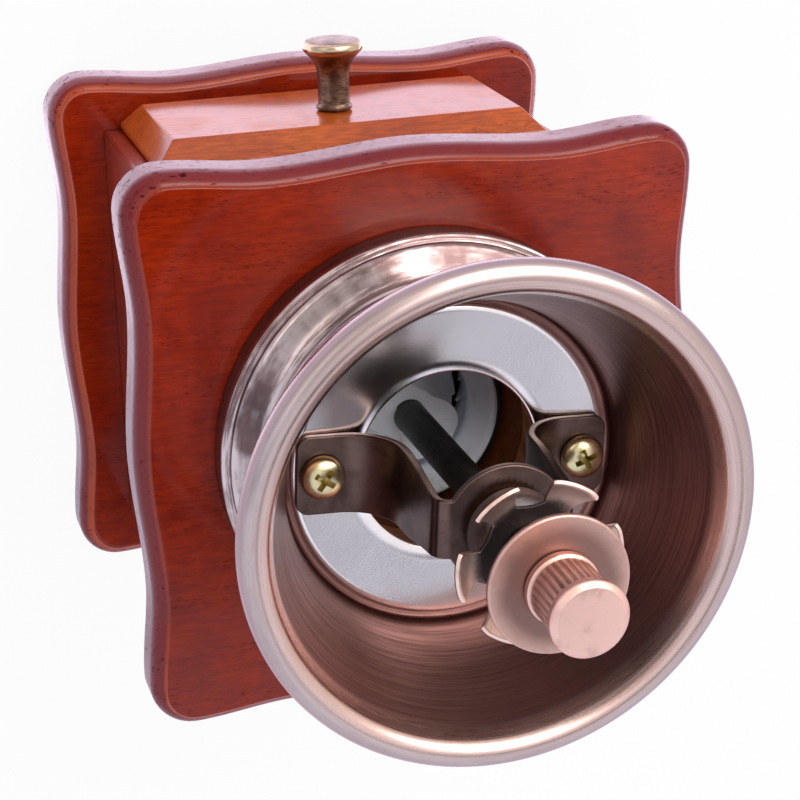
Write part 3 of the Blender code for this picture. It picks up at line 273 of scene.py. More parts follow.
def grained(grain, along, across):
    """Scales of a pattern along the grain's axis and across it."""
    return tuple(along if axis == grain else across for axis in "XYZ")


def stained_wood(name, grain, face=None, stain=RED_STAIN, rubbed=None, bore=None):
    """Stain under varnish, with the pores and streaks of the grain along one axis.

    A board also gives the height of its face, how deep its upper corner is rubbed lighter (with
    painted sheen growing towards +Y) and how much at least, and the radius of its unstained bore.
    """
    finish = Finish(name, Coat_Roughness=0.12, Coat_IOR=1.5, IOR=1.45, Specular_IOR_Level=0.03)
    place = finish.place()
    x, y, z = finish.parts(place)
    along = finish.scaled(place, grained(grain, 0.13, 1.0))
    clouds = finish.noise(place, 62.0, 4.0, 0.62, 0.4)
    blotch = finish.noise(place, 21.0, 2.0, 0.5, 0.2)
    streaks = finish.noise(along, 420.0, 5.0, 0.65, 0.3)
    fibre = finish.noise(along, 1900.0, 3.0, 0.6)
    dashes = finish.cells(finish.scaled(place, grained(grain, 380.0, 2600.0)))
    zone = finish.step(finish.noise(along, 150.0, 2.0, 0.5), 0.40, 0.62)
    pores = finish.step(dashes, 0.30, 0.12) * zone
    depth = clouds * 0.55 + blotch * 0.35 + streaks * 0.22
    shade = finish.ramp(depth, *((stop, tone(*one)) for stop, one in zip(STAIN_STOPS, stain)))
    shade = finish.mix(finish.step(fibre, 0.62, 0.40) * 0.30, shade, tone(84, 15, 8))
    relief = streaks * 0.30 + fibre * 0.22 - pores * 0.9
    coat = 0.80 - 0.25 * finish.step(clouds, 0.45, 0.75)
    if face is not None:
        edge = finish.step(z, face - 0.0003, face - 0.0008)
        # Painted shade: the rounded edge and the side under the face are darkened towards plum.
        shade = finish.mix(edge * 0.75, shade, tone(122, 20, 30))
        # Lighter orange band just under the face: rubbed wear all round, with painted sheen that
        # grows towards +Y.
        deep, least = rubbed
        corner = finish.step(z, face - deep, face - deep * 0.5)
        corner = corner * finish.step(z, face - 0.00002, face - 0.00008)
        corner = corner * (least + (1.0 - least) * finish.step(y, 0.030, 0.050))
        shade = finish.mix(corner * (0.4 + 0.8 * clouds), shade, tone(196, 78, 30))
        long_pores = finish.cells(finish.scaled(place, (230.0, 900.0, 900.0)))
        long_pores = finish.step(long_pores, 0.22, 0.10) * finish.step(streaks, 0.42, 0.56)
        pores = finish.sum("MAXIMUM", pores, long_pores * edge)
        scuffs = finish.noise(finish.scaled(place, (0.5, 1.0, 1.0)), 900.0, 3.0, 0.7)
        scuffs = finish.step(scuffs, 0.60, 0.66) * edge
        scuffs = scuffs * finish.step(x * x + y * y, 0.0041, 0.0047)
        shade = finish.mix(scuffs * 0.8, shade, tone(86, 18, 16))
        pores = finish.sum("MAXIMUM", pores, scuffs)
    shade = finish.mix(pores * 0.55, shade, tone(38, 10, 10))
    if bore is not None:
        raw = finish.step(finish.span(x, y), bore + 0.0004, bore + 0.0001)
        shade = finish.mix(raw, shade, finish.mix(streaks, tone(150, 84, 40), tone(92, 44, 18)))
        coat = coat * (1.0 - raw)
    varnish = finish.noise(place, 340.0, 2.0, 0.5)
    normal = finish.bump(relief, 0.00005, 0.55, finish.bump(varnish, 0.00004, 0.35))
    return finish.paint(Base_Color=shade, Roughness=0.30 + 0.16 * clouds + 0.25 * pores,
                        Coat_Weight=coat * (1.0 - 0.9 * pores), Normal=normal)


def plain_wood(name, grain, light, dark):
    """Sanded pale wood."""
    finish = Finish(name, IOR=1.42)
    place = finish.place()
    along = finish.scaled(place, grained(grain, 0.10, 1.0))
    broad = finish.noise(along, 130.0, 3.0, 0.55, 1.2)
    fine = finish.noise(along, 1500.0, 4.0, 0.6)
    dashes = finish.cells(finish.scaled(place, grained(grain, 300.0, 2400.0)))
    pores = finish.step(dashes, 0.24, 0.10)
    shade = finish.mix(finish.step(broad, 0.35, 0.68), light, dark)
    shade = finish.mix(finish.step(fine, 0.45, 0.70) * 0.35, shade, dark)
    shade = finish.mix(pores * 0.6, shade, tone(96, 58, 32))
    normal = finish.bump(fine * 0.5 - pores, 0.00005, 0.6)
    return finish.paint(Base_Color=shade, Roughness=0.55 + 0.2 * fine, Normal=normal)


def spun_metal(name, bright, dark, rough, ring_scale, mottle=0.5, ring_deep=0.000012, inside=None):
    """Plated metal turned about the upright axis: fine rings, streaks along them, tarnish.

    The bowl also gives its rim's height and the tint that darkens and warms its inner wall.
    """
    finish = Finish(name, Metallic=1.0)
    place = finish.place()
    x, y, z = finish.parts(place)
    radius = finish.span(x, y)
    along = z + radius * 0.6
    rings = finish.noise(finish.round_axis(x, y, radius, along, 1.3, ring_scale), 1.0, 4.0, 0.65)
    scratches = finish.noise(finish.round_axis(x, y, radius, along, 9.0, ring_scale * 1.8), 1.0,
                             2.0, 0.6)
    tarnish = finish.noise(place, 85.0, 4.0, 0.6, 0.3)
    share = rings * (0.95 - mottle) + scratches * 0.25 + tarnish * mottle
    if inside is None:
        shade = finish.mix(finish.step(share, 0.40, 0.78), bright, dark)
    else:
        rim, inner_tint = inside
        foot = rim - RIM_HEIGHT
        inward = finish.node("ShaderNodeAttribute", {"attribute_name": "inner_wall"}, output="Fac")
        lip = finish.step(z, rim - 0.0045, rim - 0.0015) * (1.0 - inward)
        calm = 1.0 - 0.62 * inward - 0.65 * lip
        shade = finish.mix(finish.step((share - 0.58) * calm + 0.58, 0.50, 0.70), bright, dark)
        # The rim's inner side is lighter and pinker than its outer side: rubbed metal with painted
        # highlight.
        copper = finish.step(radius, RIM_RADIUS + 0.0016, RIM_RADIUS - 0.0008)
        lip_shade = finish.mix(copper, tone(194, 177, 174), tone(232, 198, 186))
        shade = finish.mix(lip * 0.65, shade, lip_shade)
        # The inner wall is made darker and warmer by the tint.
        shade = finish.mix(inward, shade, finish.mix(1.0, shade, inner_tint, "MULTIPLY"))
        # Painted dark reflection on the foot's skirt band, and painted shade in the fine groove
        # above the bead.
        skirt = finish.step(z, foot + 0.0049, foot + 0.0040)
        groove = finish.step(z, foot + 0.0066, foot + 0.0069)
        groove = groove * finish.step(z, foot + 0.0075, foot + 0.0071)
        shade = finish.mix((skirt + groove * 0.6) * 0.72, shade, tone(40, 22, 26))
        # Painted dark reflection: the cove between the groove and the waist is darker, with
        # streaks.
        cove = finish.step(z, foot + 0.0074, foot + 0.0084)
        cove = cove * finish.step(z, foot + 0.0150, foot + 0.0122)
        cove = cove * (1.0 - inward) * (0.5 + finish.step(rings, 0.42, 0.60))
        shade = finish.mix(cove * 0.26, shade, tone(66, 54, 56))
        rough = rough + 0.24 * inward + 0.10 * lip
    roughness = rough + 0.30 * (rings - 0.5) + 0.08 * (tarnish - 0.5)
    normal = finish.bump(rings * 0.9 + scratches * 0.1, ring_deep, 0.8)
    return finish.paint(Base_Color=shade, Roughness=roughness, Normal=normal)


def plated_metal(name, bright, dark, rough, grain_scale=420.0, grain_deep=0.00002, mottle=60.0,
                 painted_shade=None):
    """Plated sheet or casting: soft mottling of the colour and a fine grain."""
    finish = Finish(name, Metallic=1.0)
    place = finish.place()
    tarnish = finish.noise(place, mottle, 4.0, 0.6, 0.4)
    grain = finish.noise(place, grain_scale, 3.0, 0.6)
    specks = finish.step(finish.cells(place, 700.0), 0.20, 0.08)
    shade = finish.mix(finish.step(tarnish, 0.38, 0.68), bright, dark)
    shade = finish.mix(specks * 0.35, shade, dark)
    # Painted shade: between the given heights, under the bracket's hub, the colour is made near
    # black.
    if painted_shade is not None:
        low, high = painted_shade
        height = finish.parts(place)[2]
        under = finish.step(height, low - 0.0002, low + 0.0001)
        under = under * finish.step(height, high, high - 0.0004)
        shade = finish.mix(under, shade, tone(44, 35, 33))
    roughness = rough + 0.06 * (tarnish - 0.5) + 0.10 * (grain - 0.5)
    normal = finish.bump(grain, grain_deep, 0.6)
    return finish.paint(Base_Color=shade, Roughness=roughness, Normal=normal)


def shaded_worn_copper(name, inner, outer, painted_shade, worn_and_sheen_tone, cap=None, sheet=None):
    """Light matt copper: painted shade near the axis, and bright at its rim from rubbed wear and
    painted highlight.

    The nut also gives the height of its cap, and the cog the height of its sheet's underside.
    """
    finish = Finish(name, Metallic=1.0)
    place = finish.place()
    x, y, z = finish.parts(place)
    radius = finish.span(x, y)
    tarnish = finish.noise(place, 190.0, 4.0, 0.6, 0.3)
    grain = finish.noise(place, 1500.0, 3.0, 0.65)
    # Painted shade near the axis; rubbed wear and painted highlight towards the rim.
    worn_and_sheen = finish.step(radius + (tarnish - 0.5) * (outer - inner) * 0.8, inner, outer)
    if cap is not None:
        worn_and_sheen = finish.sum("MAXIMUM", worn_and_sheen, finish.step(z, cap, cap + 0.0003))
    if sheet is not None:
        share = finish.sum("MAXIMUM", (radius - COG_ROOT) / (COG_TIP - COG_ROOT), 0.0)
        share = finish.sum("MINIMUM", share, 1.0)
        above = z - sheet - COG_RISE * share ** (PETAL_RISE_POWER / PETAL_REACH_POWER)
        # Painted shade: the cog's petals stay dark on their underside.
        worn_and_sheen = worn_and_sheen * finish.step(above, 0.0003, 0.0006)
    shade = finish.mix(worn_and_sheen, painted_shade, worn_and_sheen_tone)
    shade = finish.mix(finish.step(tarnish, 0.48, 0.72) * 0.35, shade, tone(150, 108, 98))
    return finish.paint(Base_Color=shade, Roughness=0.46 - 0.08 * worn_and_sheen + 0.20 * (grain - 0.5),
                        Normal=finish.bump(grain, 0.00003, 0.6))


def knob_brass(name, centre, head_radius):
    """Antique plate on the knob, rubbed back to bright brass round the head's rim."""
    finish = Finish(name, Metallic=1.0)
    place = finish.place()
    x, y, z = finish.parts(place)
    off_x, off_z = x - centre.x, z - centre.z
    radius = finish.span(off_x, off_z)
    rings = finish.noise(finish.round_axis(off_x, off_z, radius, radius - y, 2.0, 3200.0), 1.0,
                         3.0, 0.6)
    tarnish = finish.noise(place, 260.0, 4.0, 0.6)
    rubbed = finish.step(radius + (tarnish - 0.5) * 0.0011, head_radius * 0.86, head_radius * 0.97)
    shade = finish.mix(finish.step(rings * 0.5 + tarnish * 0.5, 0.38, 0.62), tone(150, 128, 108),
                       tone(92, 70, 58))
    shade = finish.mix(rubbed * 0.85, shade, tone(212, 192, 160))
    return finish.paint(Base_Color=shade, Roughness=0.34 + 0.2 * (tarnish - 0.5) - 0.10 * rubbed,
                        Normal=finish.bump(rings, 0.00001, 0.7))


def glazed_ceramic(name):
    """White ceramic with faint coffee stain."""
    finish = Finish(name, IOR=1.5, Coat_Weight=0.3, Coat_Roughness=0.2)
    place = finish.place()
    stain = finish.noise(place, 160.0, 4.0, 0.65)
    grain = finish.noise(place, 1500.0, 2.0, 0.5)
    shade = finish.mix(finish.step(stain, 0.56, 0.80), tone(240, 245, 252), tone(196, 180, 160))
    normal = finish.bump(grain, 0.00002, 0.5)
    return finish.paint(Base_Color=shade, Roughness=0.32 + 0.25 * stain, Normal=normal)


def pressed_felt(name):
    finish = Finish(name, Sheen_Weight=0.35, Sheen_Roughness=0.5, Specular_IOR_Level=0.2)
    place = finish.place()
    fibres = finish.noise(place, 2600.0, 4.0, 0.7, 1.5)
    lumps = finish.noise(place, 380.0, 3.0, 0.6)
    shade = finish.mix(finish.step(fibres, 0.35, 0.70), tone(38, 34, 32), tone(66, 61, 57))
    normal = finish.bump(fibres * 0.7 + lumps * 0.3, 0.00022, 0.9)
    return finish.paint(Base_Color=shade, Roughness=0.85 + 0.15 * lumps, Normal=normal)


def moulded_plastic(name):
    finish = Finish(name, IOR=1.48)
    place = finish.place()
    grain = finish.noise(place, 2200.0, 3.0, 0.6)
    flow = finish.noise(place, 70.0, 2.0, 0.5)
    shade = finish.mix(flow, tone(28, 28, 29), tone(44, 43, 43))
    return finish.paint(Base_Color=shade, Roughness=0.42 + 0.2 * grain,
                        Normal=finish.bump(grain, 0.00003, 0.6))


KNOB_LOW, KNOB_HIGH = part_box("drawer_knob")
KNOB_CENTRE = (KNOB_LOW + KNOB_HIGH) / 2
STRAP_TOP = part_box("bridge_bracket")[1].z
PALE_WOOD = (tone(208, 168, 118), tone(178, 132, 84))

FINISHES = {
    "top_board": stained_wood("stained_wood_top_board", "X", TOP_FACE, RED_STAIN,
                              (0.0009, 0.25), BORE_RADIUS),
    "base_board": stained_wood("stained_wood_base_board", "X", BASE_FACE, RED_STAIN,
                               (0.0017, 0.85)),
    "stained_x": stained_wood("stained_wood_across", "X"),
    "drawer_front": stained_wood("stained_wood_drawer_front", "X", None, ORANGE_STAIN),
    "stained_y": stained_wood("stained_wood_along", "Y"),
    "plain_x": plain_wood("plain_wood_across", "X", *PALE_WOOD),
    "plain_y": plain_wood("plain_wood_along", "Y", *PALE_WOOD),
    "riser": plain_wood("plain_wood_riser", "X", tone(190, 118, 66), tone(142, 78, 40)),
    "felt": pressed_felt("dark_felt"),
    "bowl": spun_metal("antique_copper_spun", tone(216, 200, 199), tone(128, 104, 102), 0.18,
                       3000.0, 0.08, 0.00004, (TOP_FACE + RIM_HEIGHT, tone(198, 160, 151))),
    "bracket": plated_metal("antique_copper_strap", tone(114, 93, 87), tone(72, 56, 51), 0.38,
                            500.0, 0.000015, 70.0,
                            (STRAP_TOP - STRAP_THICK, STRAP_TOP - STRAP_THICK * 0.55)),
    "cog": shaded_worn_copper("brushed_copper_cog", 0.0086, 0.0126, tone(74, 66, 64),
                       tone(252, 218, 202), sheet=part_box("cog_wheel")[0].z),
    "washer": shaded_worn_copper("brushed_copper_washer", 0.0085, 0.0122, tone(148, 116, 108),
                          tone(216, 176, 162)),
    "nut": shaded_worn_copper("brushed_copper_nut", 0.0054, 0.0062, tone(122, 92, 84),
                       tone(250, 206, 190), cap=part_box("thumb_nut")[1].z - 0.0028),
    "plate": plated_metal("satin_nickel_sheet", tone(250, 243, 242), tone(243, 236, 236), 0.16,
                          4200.0, 0.000013, 45.0),
    "steel": spun_metal("plain_steel", tone(196, 196, 198), tone(140, 140, 143), 0.30, 3000.0),
    "zinc": plated_metal("yellow_zinc", tone(224, 212, 168), tone(184, 172, 124), 0.24, 800.0,
                         0.000012, 240.0),
    "black_steel": spun_metal("blackened_steel", tone(80, 83, 82), tone(50, 53, 52), 0.42, 2600.0),
    "knob": knob_brass("antique_brass", KNOB_CENTRE, (KNOB_HIGH.x - KNOB_LOW.x) / 2),
    "bronze": spun_metal("bearing_bronze", tone(196, 152, 96), tone(128, 92, 58), 0.32, 2800.0),
    "ceramic": glazed_ceramic("white_ceramic"),
    "plastic": moulded_plastic("black_plastic"),
}


# Shapes

def ease(share):
    share = min(max(share, 0.0), 1.0)
    return share * share * (3 - 2 * share)


def between(low, high, share):
    return low + (high - low) * share


def skin(shape, first, second):
    """Faces between two rows of corners; a row of one corner makes a fan."""
    count = max(len(first), len(second))
    for index in range(count):
        after = (index + 1) % count
        if len(first) == 1:
            shape.faces.new((first[0], second[after], second[index]))
        elif len(second) == 1:
            shape.faces.new((first[index], first[after], second[0]))
        else:
            shape.faces.new((first[index], first[after], second[after], second[index]))


def loft(rings, joined=False):
    """A closed skin through rings of equal count, joined end to end or capped."""
    shape = bmesh.new()
    rows = [[shape.verts.new(point) for point in ring] for ring in rings]
    for first, second in zip(rows, rows[1:]):
        skin(shape, first, second)
    if joined:
        skin(shape, rows[-1], rows[0])
    else:
        shape.faces.new(rows[0])
        shape.faces.new(rows[-1])
    bmesh.ops.recalc_face_normals(shape, faces=shape.faces)
    return shape


def turned(profile, steps=128, closed=False):
    """A profile of (radius, height) turned about Z."""
    shape = bmesh.new()
    rows = []
    for radius, height in profile:
        if radius < 1e-7:
            rows.append([shape.verts.new((0.0, 0.0, height))])
        else:
            rows.append([shape.verts.new((radius * math.cos(math.tau * i / steps),
                                          radius * math.sin(math.tau * i / steps), height))
                         for i in range(steps)])
    for first, second in zip(rows, rows[1:]):
        skin(shape, first, second)
    if closed:
        skin(shape, rows[-1], rows[0])
    bmesh.ops.recalc_face_normals(shape, faces=shape.faces)
    return shape


def rounded(corners, radius, steps=4, closed=False):
    """A profile with its corners rounded; one radius for all, or one for each corner."""
    count = len(corners)
    radii = radius if isinstance(radius, (list, tuple)) else [radius] * count
    points = []
    for index, corner in enumerate(corners):
        here = Vector(corner)
        open_end = not closed and index in (0, count - 1)
        if open_end or radii[index] <= 0:
            points.append(tuple(here))
            continue
        back = Vector(corners[index - 1]) - here
        ahead = Vector(corners[(index + 1) % count]) - here
        angle = back.angle(ahead)
        if angle > math.radians(179):
            points.append(tuple(here))
            continue
        reach = min(radii[index] / math.tan(angle / 2), back.length * 0.49, ahead.length * 0.49)
        start = here + back.normalized() * reach
        end = here + ahead.normalized() * reach
        for step in range(steps + 1):
            t = step / steps
            spot = start * (1 - t) ** 2 + here * 2 * t * (1 - t) + end * t * t
            points.append(tuple(spot))
    return points


def curve(start, leaving, arriving, end, steps):
    points = []
    for step in range(steps):
        t = step / steps
        weights = ((1 - t) ** 3, 3 * t * (1 - t) ** 2, 3 * t * t * (1 - t), t ** 3)
        knots = (start, leaving, arriving, end)
        points.append(tuple(sum(w * knot[i] for w, knot in zip(weights, knots)) for i in (0, 1)))
    return points


def arc(centre, radius, start, end, steps):
    return [(centre[0] + radius * math.cos(between(start, end, i / steps)),
             centre[1] + radius * math.sin(between(start, end, i / steps)))
            for i in range(steps + 1)]


def ring_at(height, reaches, turn=0.0):
    """A ring of corners at one height, each with its own reach from the axis."""
    ring = []
    for index, reach in enumerate(reaches):
        angle = math.tau * index / len(reaches) + turn
        ring.append(Vector((reach * math.cos(angle), reach * math.sin(angle), height)))
    return ring


def round_ring(radius, height, count=96):
    return ring_at(height, [radius] * count)


def flatted_ring(radius, across, flats, height, count=96):
    """A ring of a round rod with flats on it."""
    reaches = []
    for index in range(count):
        angle = math.tau * index / count
        nearest = round(angle * flats / math.tau) * math.tau / flats
        reaches.append(min(radius, across / 2 / max(math.cos(angle - nearest),
                                                    across / 2 / radius)))
    return ring_at(height, reaches)


def oblong(low, high, height):
    """The corners of an upright box at one height."""
    return [Vector((*corner, height)) for corner in (
        (low.x, low.y), (high.x, low.y), (high.x, high.y), (low.x, high.y))]


def moved(shape, matrix):
    bmesh.ops.transform(shape, matrix=matrix, verts=shape.verts)
    return shape


def stand(name, data):
    """A new object in the scene."""
    made = bpy.data.objects.new(name, data)
    bpy.context.scene.collection.objects.link(made)
    return made


def workpiece(name, shape, sharp=38.0):
    """An unfinished object from a shape, smooth but for its sharp edges."""
    mesh = bpy.data.meshes.new(name)
    shape.to_mesh(mesh)
    shape.free()
    mesh.shade_smooth()
    mesh.set_sharp_from_angle(angle=math.radians(sharp))
    return stand(name, mesh)


def hollow(made, cutter):
    hole = made.modifiers.new("hole", 'BOOLEAN')
    hole.operation = 'DIFFERENCE'
    hole.solver = 'EXACT'
    hole.object = cutter


def bevelled(made, width, segments, angle):
    bevel = made.modifiers.new("edge", 'BEVEL')
    bevel.width = width
    bevel.segments = segments
    bevel.limit_method = 'ANGLE'
    bevel.angle_limit = math.radians(angle)


def evened(made):
    """Keeps the flat faces beside rounded edges looking flat."""
    made.modifiers.new("flat", 'WEIGHTED_NORMAL').keep_sharp = True


def baked(made):
    """A new mesh with an object's modifiers worked in; the object goes."""
    bpy.context.view_layer.update()
    ready = made.evaluated_get(bpy.context.evaluated_depsgraph_get())
    mesh = bpy.data.meshes.new_from_object(ready)
    bpy.data.objects.remove(made)
    return mesh


def install(name, mesh, finish, body, slot, *nodes):
    """A finished piece in its place on a body."""
    mesh.name = name
    mesh.materials.clear()
    mesh.materials.append(FINISHES[finish])
    made = stand(name, mesh)
    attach(made, body)
    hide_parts(*nodes)


def dress(node, shape, finish, body, slot, edge=0.0, segments=2, cutters=(), sharp=38.0,
          flat=True):
    """Cut, break the edges of, bake and install the piece that dresses a node."""
    made = workpiece(node, shape, sharp)
    for cutter in cutters:
        hollow(made, cutter)
    if edge:
        bevelled(made, edge, segments, 38)
    if flat:
        evened(made)
    mesh = baked(made)
    for cutter in cutters:
        bpy.data.objects.remove(cutter)
    install(node, mesh, finish, body, slot, node)


def copied(node):
    """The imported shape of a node, with its corners merged and its flat faces whole."""
    shape = bmesh.new()
    shape.from_mesh(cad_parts[node].data)
    bmesh.ops.remove_doubles(shape, verts=shape.verts, dist=0.000002)
    bmesh.ops.dissolve_limit(shape, angle_limit=math.radians(0.8), verts=shape.verts,
                             edges=shape.edges)
    return shape


# Boards, box and drawer

def side_wave(along):
    along = abs(along)
    dip = BOARD_HALF * DIP_SHARE
    corner = BOARD_HALF - CORNER_RADIUS
    if along < dip:
        return between(SIDE_CREST, -SIDE_DIP, ease(along / dip))
    return between(-SIDE_DIP, 0.0, ease((along - dip) / (corner - dip)))


def board_outline():
    """Points round a wavy board and the outward direction at each."""
    straight = BOARD_HALF - CORNER_RADIUS
    dip = BOARD_HALF * DIP_SHARE
    half_side = [dip * i / 14 for i in range(14)]
    half_side += [between(dip, straight, i / 12) for i in range(13)]
    side = [-along for along in reversed(half_side[1:])] + half_side[:-1]
    points = []
    for quarter in range(4):
        heading = quarter * math.pi / 2
        outward = Vector((math.cos(heading), math.sin(heading)))
        sideways = Vector((-outward.y, outward.x))
        points += [outward * (BOARD_HALF + side_wave(a)) + sideways * a for a in side]
        centre = (outward + sideways) * straight
        for step in range(14):
            angle = heading + math.pi / 2 * step / 14
            points.append(centre + CORNER_RADIUS * Vector((math.cos(angle), math.sin(angle))))
    outwards = []
    for index, point in enumerate(points):
        run = points[(index + 1) % len(points)] - points[index - 1]
        outwards.append(Vector((run.y, -run.x)).normalized())
    return points, outwards


def board_rings(levels):
    points, outwards = board_outline()
    return [[(point - outward * inset).to_3d() + TOP * height
             for point, outward in zip(points, outwards)] for inset, height in levels]


def moulded_levels(thick):
    """Edge of a board from the bottom up: under round, straight, top round, step and face."""
    radius = ROUND_REACH / (1 - math.cos(ROUND_ANGLE))
    low = thick - FACE_STEP - radius * math.sin(ROUND_ANGLE)
    levels = arc((UNDER_ROUND, UNDER_ROUND), UNDER_ROUND, 1.5 * math.pi, math.pi, 5)
    levels += arc((radius, low), radius, math.pi, math.pi - ROUND_ANGLE, 12)
    soft = 0.00030
    levels += [(ROUND_REACH + soft / 3, thick - FACE_STEP + soft / 3)]
    levels += arc((ROUND_REACH + 2 * soft, thick - soft), soft, math.pi, math.pi / 2, 4)
    levels += [(ROUND_REACH + 4 * soft, thick)]
    return levels


def build_boards():
    for node, bored in (("base_board", False), ("top_board", True)):
        low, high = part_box(node)
        levels = [(inset, low.z + height) for inset, height in moulded_levels(high.z - low.z)]
        rings = board_rings(levels)
        if bored:
            bore = [point.normalized().to_3d() * BORE_RADIUS for point in board_outline()[0]]
            rings.insert(0, [point + TOP * low.z for point in bore])
            rings.append([point + TOP * high.z for point in bore])
        dress(node, loft(rings, joined=bored), node, "case", "stained_wood")
    low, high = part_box("base_felt")
    soft = 0.0003
    levels = [(FELT_INSET + soft, low.z), (FELT_INSET, low.z + soft), (FELT_INSET, high.z - soft),
              (FELT_INSET + soft, high.z)]
    dress("base_felt", loft(board_rings(levels)), "felt", "case", "dark_felt")


def build_box():
    for node, finish in (("box_side_left", "stained_y"), ("box_side_right", "stained_y"),
                         ("box_back", "stained_x"), ("box_front_rail", "stained_x")):
        low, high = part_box(node)
        dress(node, loft([oblong(low, high, low.z), oblong(low, high, high.z)]), finish, "case",
              "stained_wood", edge=0.0006, segments=3)


def build_drawer():
    low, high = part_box("drawer_front")
    bevel, edge = 0.0041, 0.0012
    rings = []
    for inset, y in ((0.0, high.y), (0.0, high.y - edge), (bevel, low.y)):
        left, right, bottom, top = low.x + inset, high.x - inset, low.z + inset, high.z - inset
        rings.append([Vector((x, y, z)) for x, z in (
            (left, bottom), (right, bottom), (right, top), (left, top))])
    dress("drawer_front", loft(rings), "drawer_front", "drawer", "stained_wood",
          edge=0.00028, segments=3, sharp=28.0)
    for node, finish in (("drawer_side_left", "plain_y"), ("drawer_side_right", "plain_y"),
                         ("drawer_back", "plain_x"), ("drawer_bottom", "plain_x")):
        dress(node, copied(node), finish, "drawer", "plain_wood", edge=0.00045)
    build_knob()


def build_knob():
    length = 0.0143
    foot, stem, flare, head = 0.0037, 0.00324, 0.0046, (KNOB_HIGH.x - KNOB_LOW.x) / 2
    profile = [(0.0, 0.0), (foot - 0.0002, 0.0), (foot, 0.0002), (foot, 0.0006),
               (stem + 0.0001, 0.0010), (stem, 0.0014)]
    profile += curve((stem, length * 0.42), (stem, length * 0.72), (flare, length * 0.72),
                     (head, length * 0.865), 14)
    profile += [(head - 0.00003, length * 0.865), (head, length * 0.895),
                (head - 0.00003, length * 0.925)]
    profile += curve((head - 0.00006, length * 0.93), (head - 0.0001, length), (flare, length),
                     (0.0, length), 14)
    profile += [(0.0, length)]
    turn = Matrix.Translation((KNOB_CENTRE.x, KNOB_LOW.y + length, KNOB_CENTRE.z))
    shape = moved(turned(profile, 96), turn @ Matrix.Rotation(math.pi / 2, 4, 'X'))
    dress("drawer_knob", shape, "knob", "drawer", "antique_brass", flat=False)


# Geometry trees

class Tree:
    """A geometry tree whose named sizes are set on each piece that uses it."""

    def __init__(self, name, **sizes):
        self.tree = bpy.data.node_groups.new(name, "GeometryNodeTree")
        face = self.tree.interface
        face.new_socket(name="Geometry", in_out='OUTPUT', socket_type="NodeSocketGeometry")
        face.new_socket(name="Geometry", in_out='INPUT', socket_type="NodeSocketGeometry")
        for label, kind in sizes.items():
            face.new_socket(name=label, in_out='INPUT', socket_type="NodeSocket" + kind)
        self.source = self.tree.nodes.new("NodeGroupInput")

    def size(self, label):
        return self.source.outputs[label]

    def node(self, kind, settings=None, inputs=None):
        made = self.tree.nodes.new(kind)
        for name, value in (settings or {}).items():
            setattr(made, name, value)
        for name, value in (inputs or {}).items():
            for one in value if isinstance(value, list) else [value]:
                if isinstance(one, bpy.types.NodeSocket):
                    self.tree.links.new(one, made.inputs[name])
                else:
                    made.inputs[name].default_value = one
        return made.outputs

    def placed(self, points, rotation):
        """The part at every point."""
        part = self.node("GeometryNodeObjectInfo", {"transform_space": 'ORIGINAL'},
                         {"Object": self.size("Part"), "As Instance": True})["Geometry"]
        return self.node("GeometryNodeInstanceOnPoints", {}, {
            "Points": points, "Instance": part, "Rotation": rotation})[0]

    def raised(self, geometry):
        """Lifted to its height and joined to what comes in."""
        lift = self.node("ShaderNodeCombineXYZ", {}, {2: self.size("Height")})[0]
        moved_up = self.node("GeometryNodeTransform", {}, {
            "Geometry": geometry, "Translation": lift})[0]
        return self.node("GeometryNodeJoinGeometry", {}, {
            0: [moved_up, self.size("Geometry")]})[0]

    def end(self, geometry):
        """Real faces with the finish on them."""
        real = self.node("GeometryNodeRealizeInstances", {}, {"Geometry": geometry})[0]
        painted = self.node("GeometryNodeSetMaterial", {}, {
            "Geometry": real, "Material": self.size("Finish")})[0]
        self.node("NodeGroupOutput", {}, {0: painted})
        return self

    def worked(self, made, **values):
        """The plain mesh that the tree makes of an object."""
        modifier = made.modifiers.new(self.tree.name, 'NODES')
        modifier.node_group = self.tree
        for item in self.tree.interface.items_tree:
            if item.in_out == 'INPUT' and item.name in values:
                modifier[item.identifier] = values[item.name]
        return baked(made)


def placing_tree():
    """Puts a part at every corner of a mesh, tilted, each turned a little more than the last."""
    tree = Tree("parts_at_places", Part="Object", Tilt="Float", Turn="Float", Step="Float",
                Finish="Material")
    index = tree.node("GeometryNodeInputIndex")[0]
    turn = tree.node("ShaderNodeMath", {"operation": 'MULTIPLY_ADD'},
                     {0: index, 1: tree.size("Step"), 2: tree.size("Turn")})[0]
    angles = tree.node("ShaderNodeCombineXYZ", {}, {0: tree.size("Tilt"), 2: turn})[0]
    rotation = tree.node("FunctionNodeEulerToRotation", {}, {0: angles})[0]
    return tree.end(tree.placed(tree.size("Geometry"), rotation))


def circling_tree():
    """Sets parts round the upright axis, facing outwards, on the core that comes in."""
    tree = Tree("parts_round_an_axis", Part="Object", Count="Int", Radius="Float", Height="Float",
                Finish="Material")
    circle = tree.node("GeometryNodeMeshCircle", {}, {
        "Vertices": tree.size("Count"), "Radius": tree.size("Radius")})[0]
    position = tree.node("GeometryNodeInputPosition")[0]
    outward = tree.node("FunctionNodeAlignRotationToVector", {"axis": 'X'}, {"Vector": position})[0]
    return tree.end(tree.raised(tree.placed(circle, outward)))


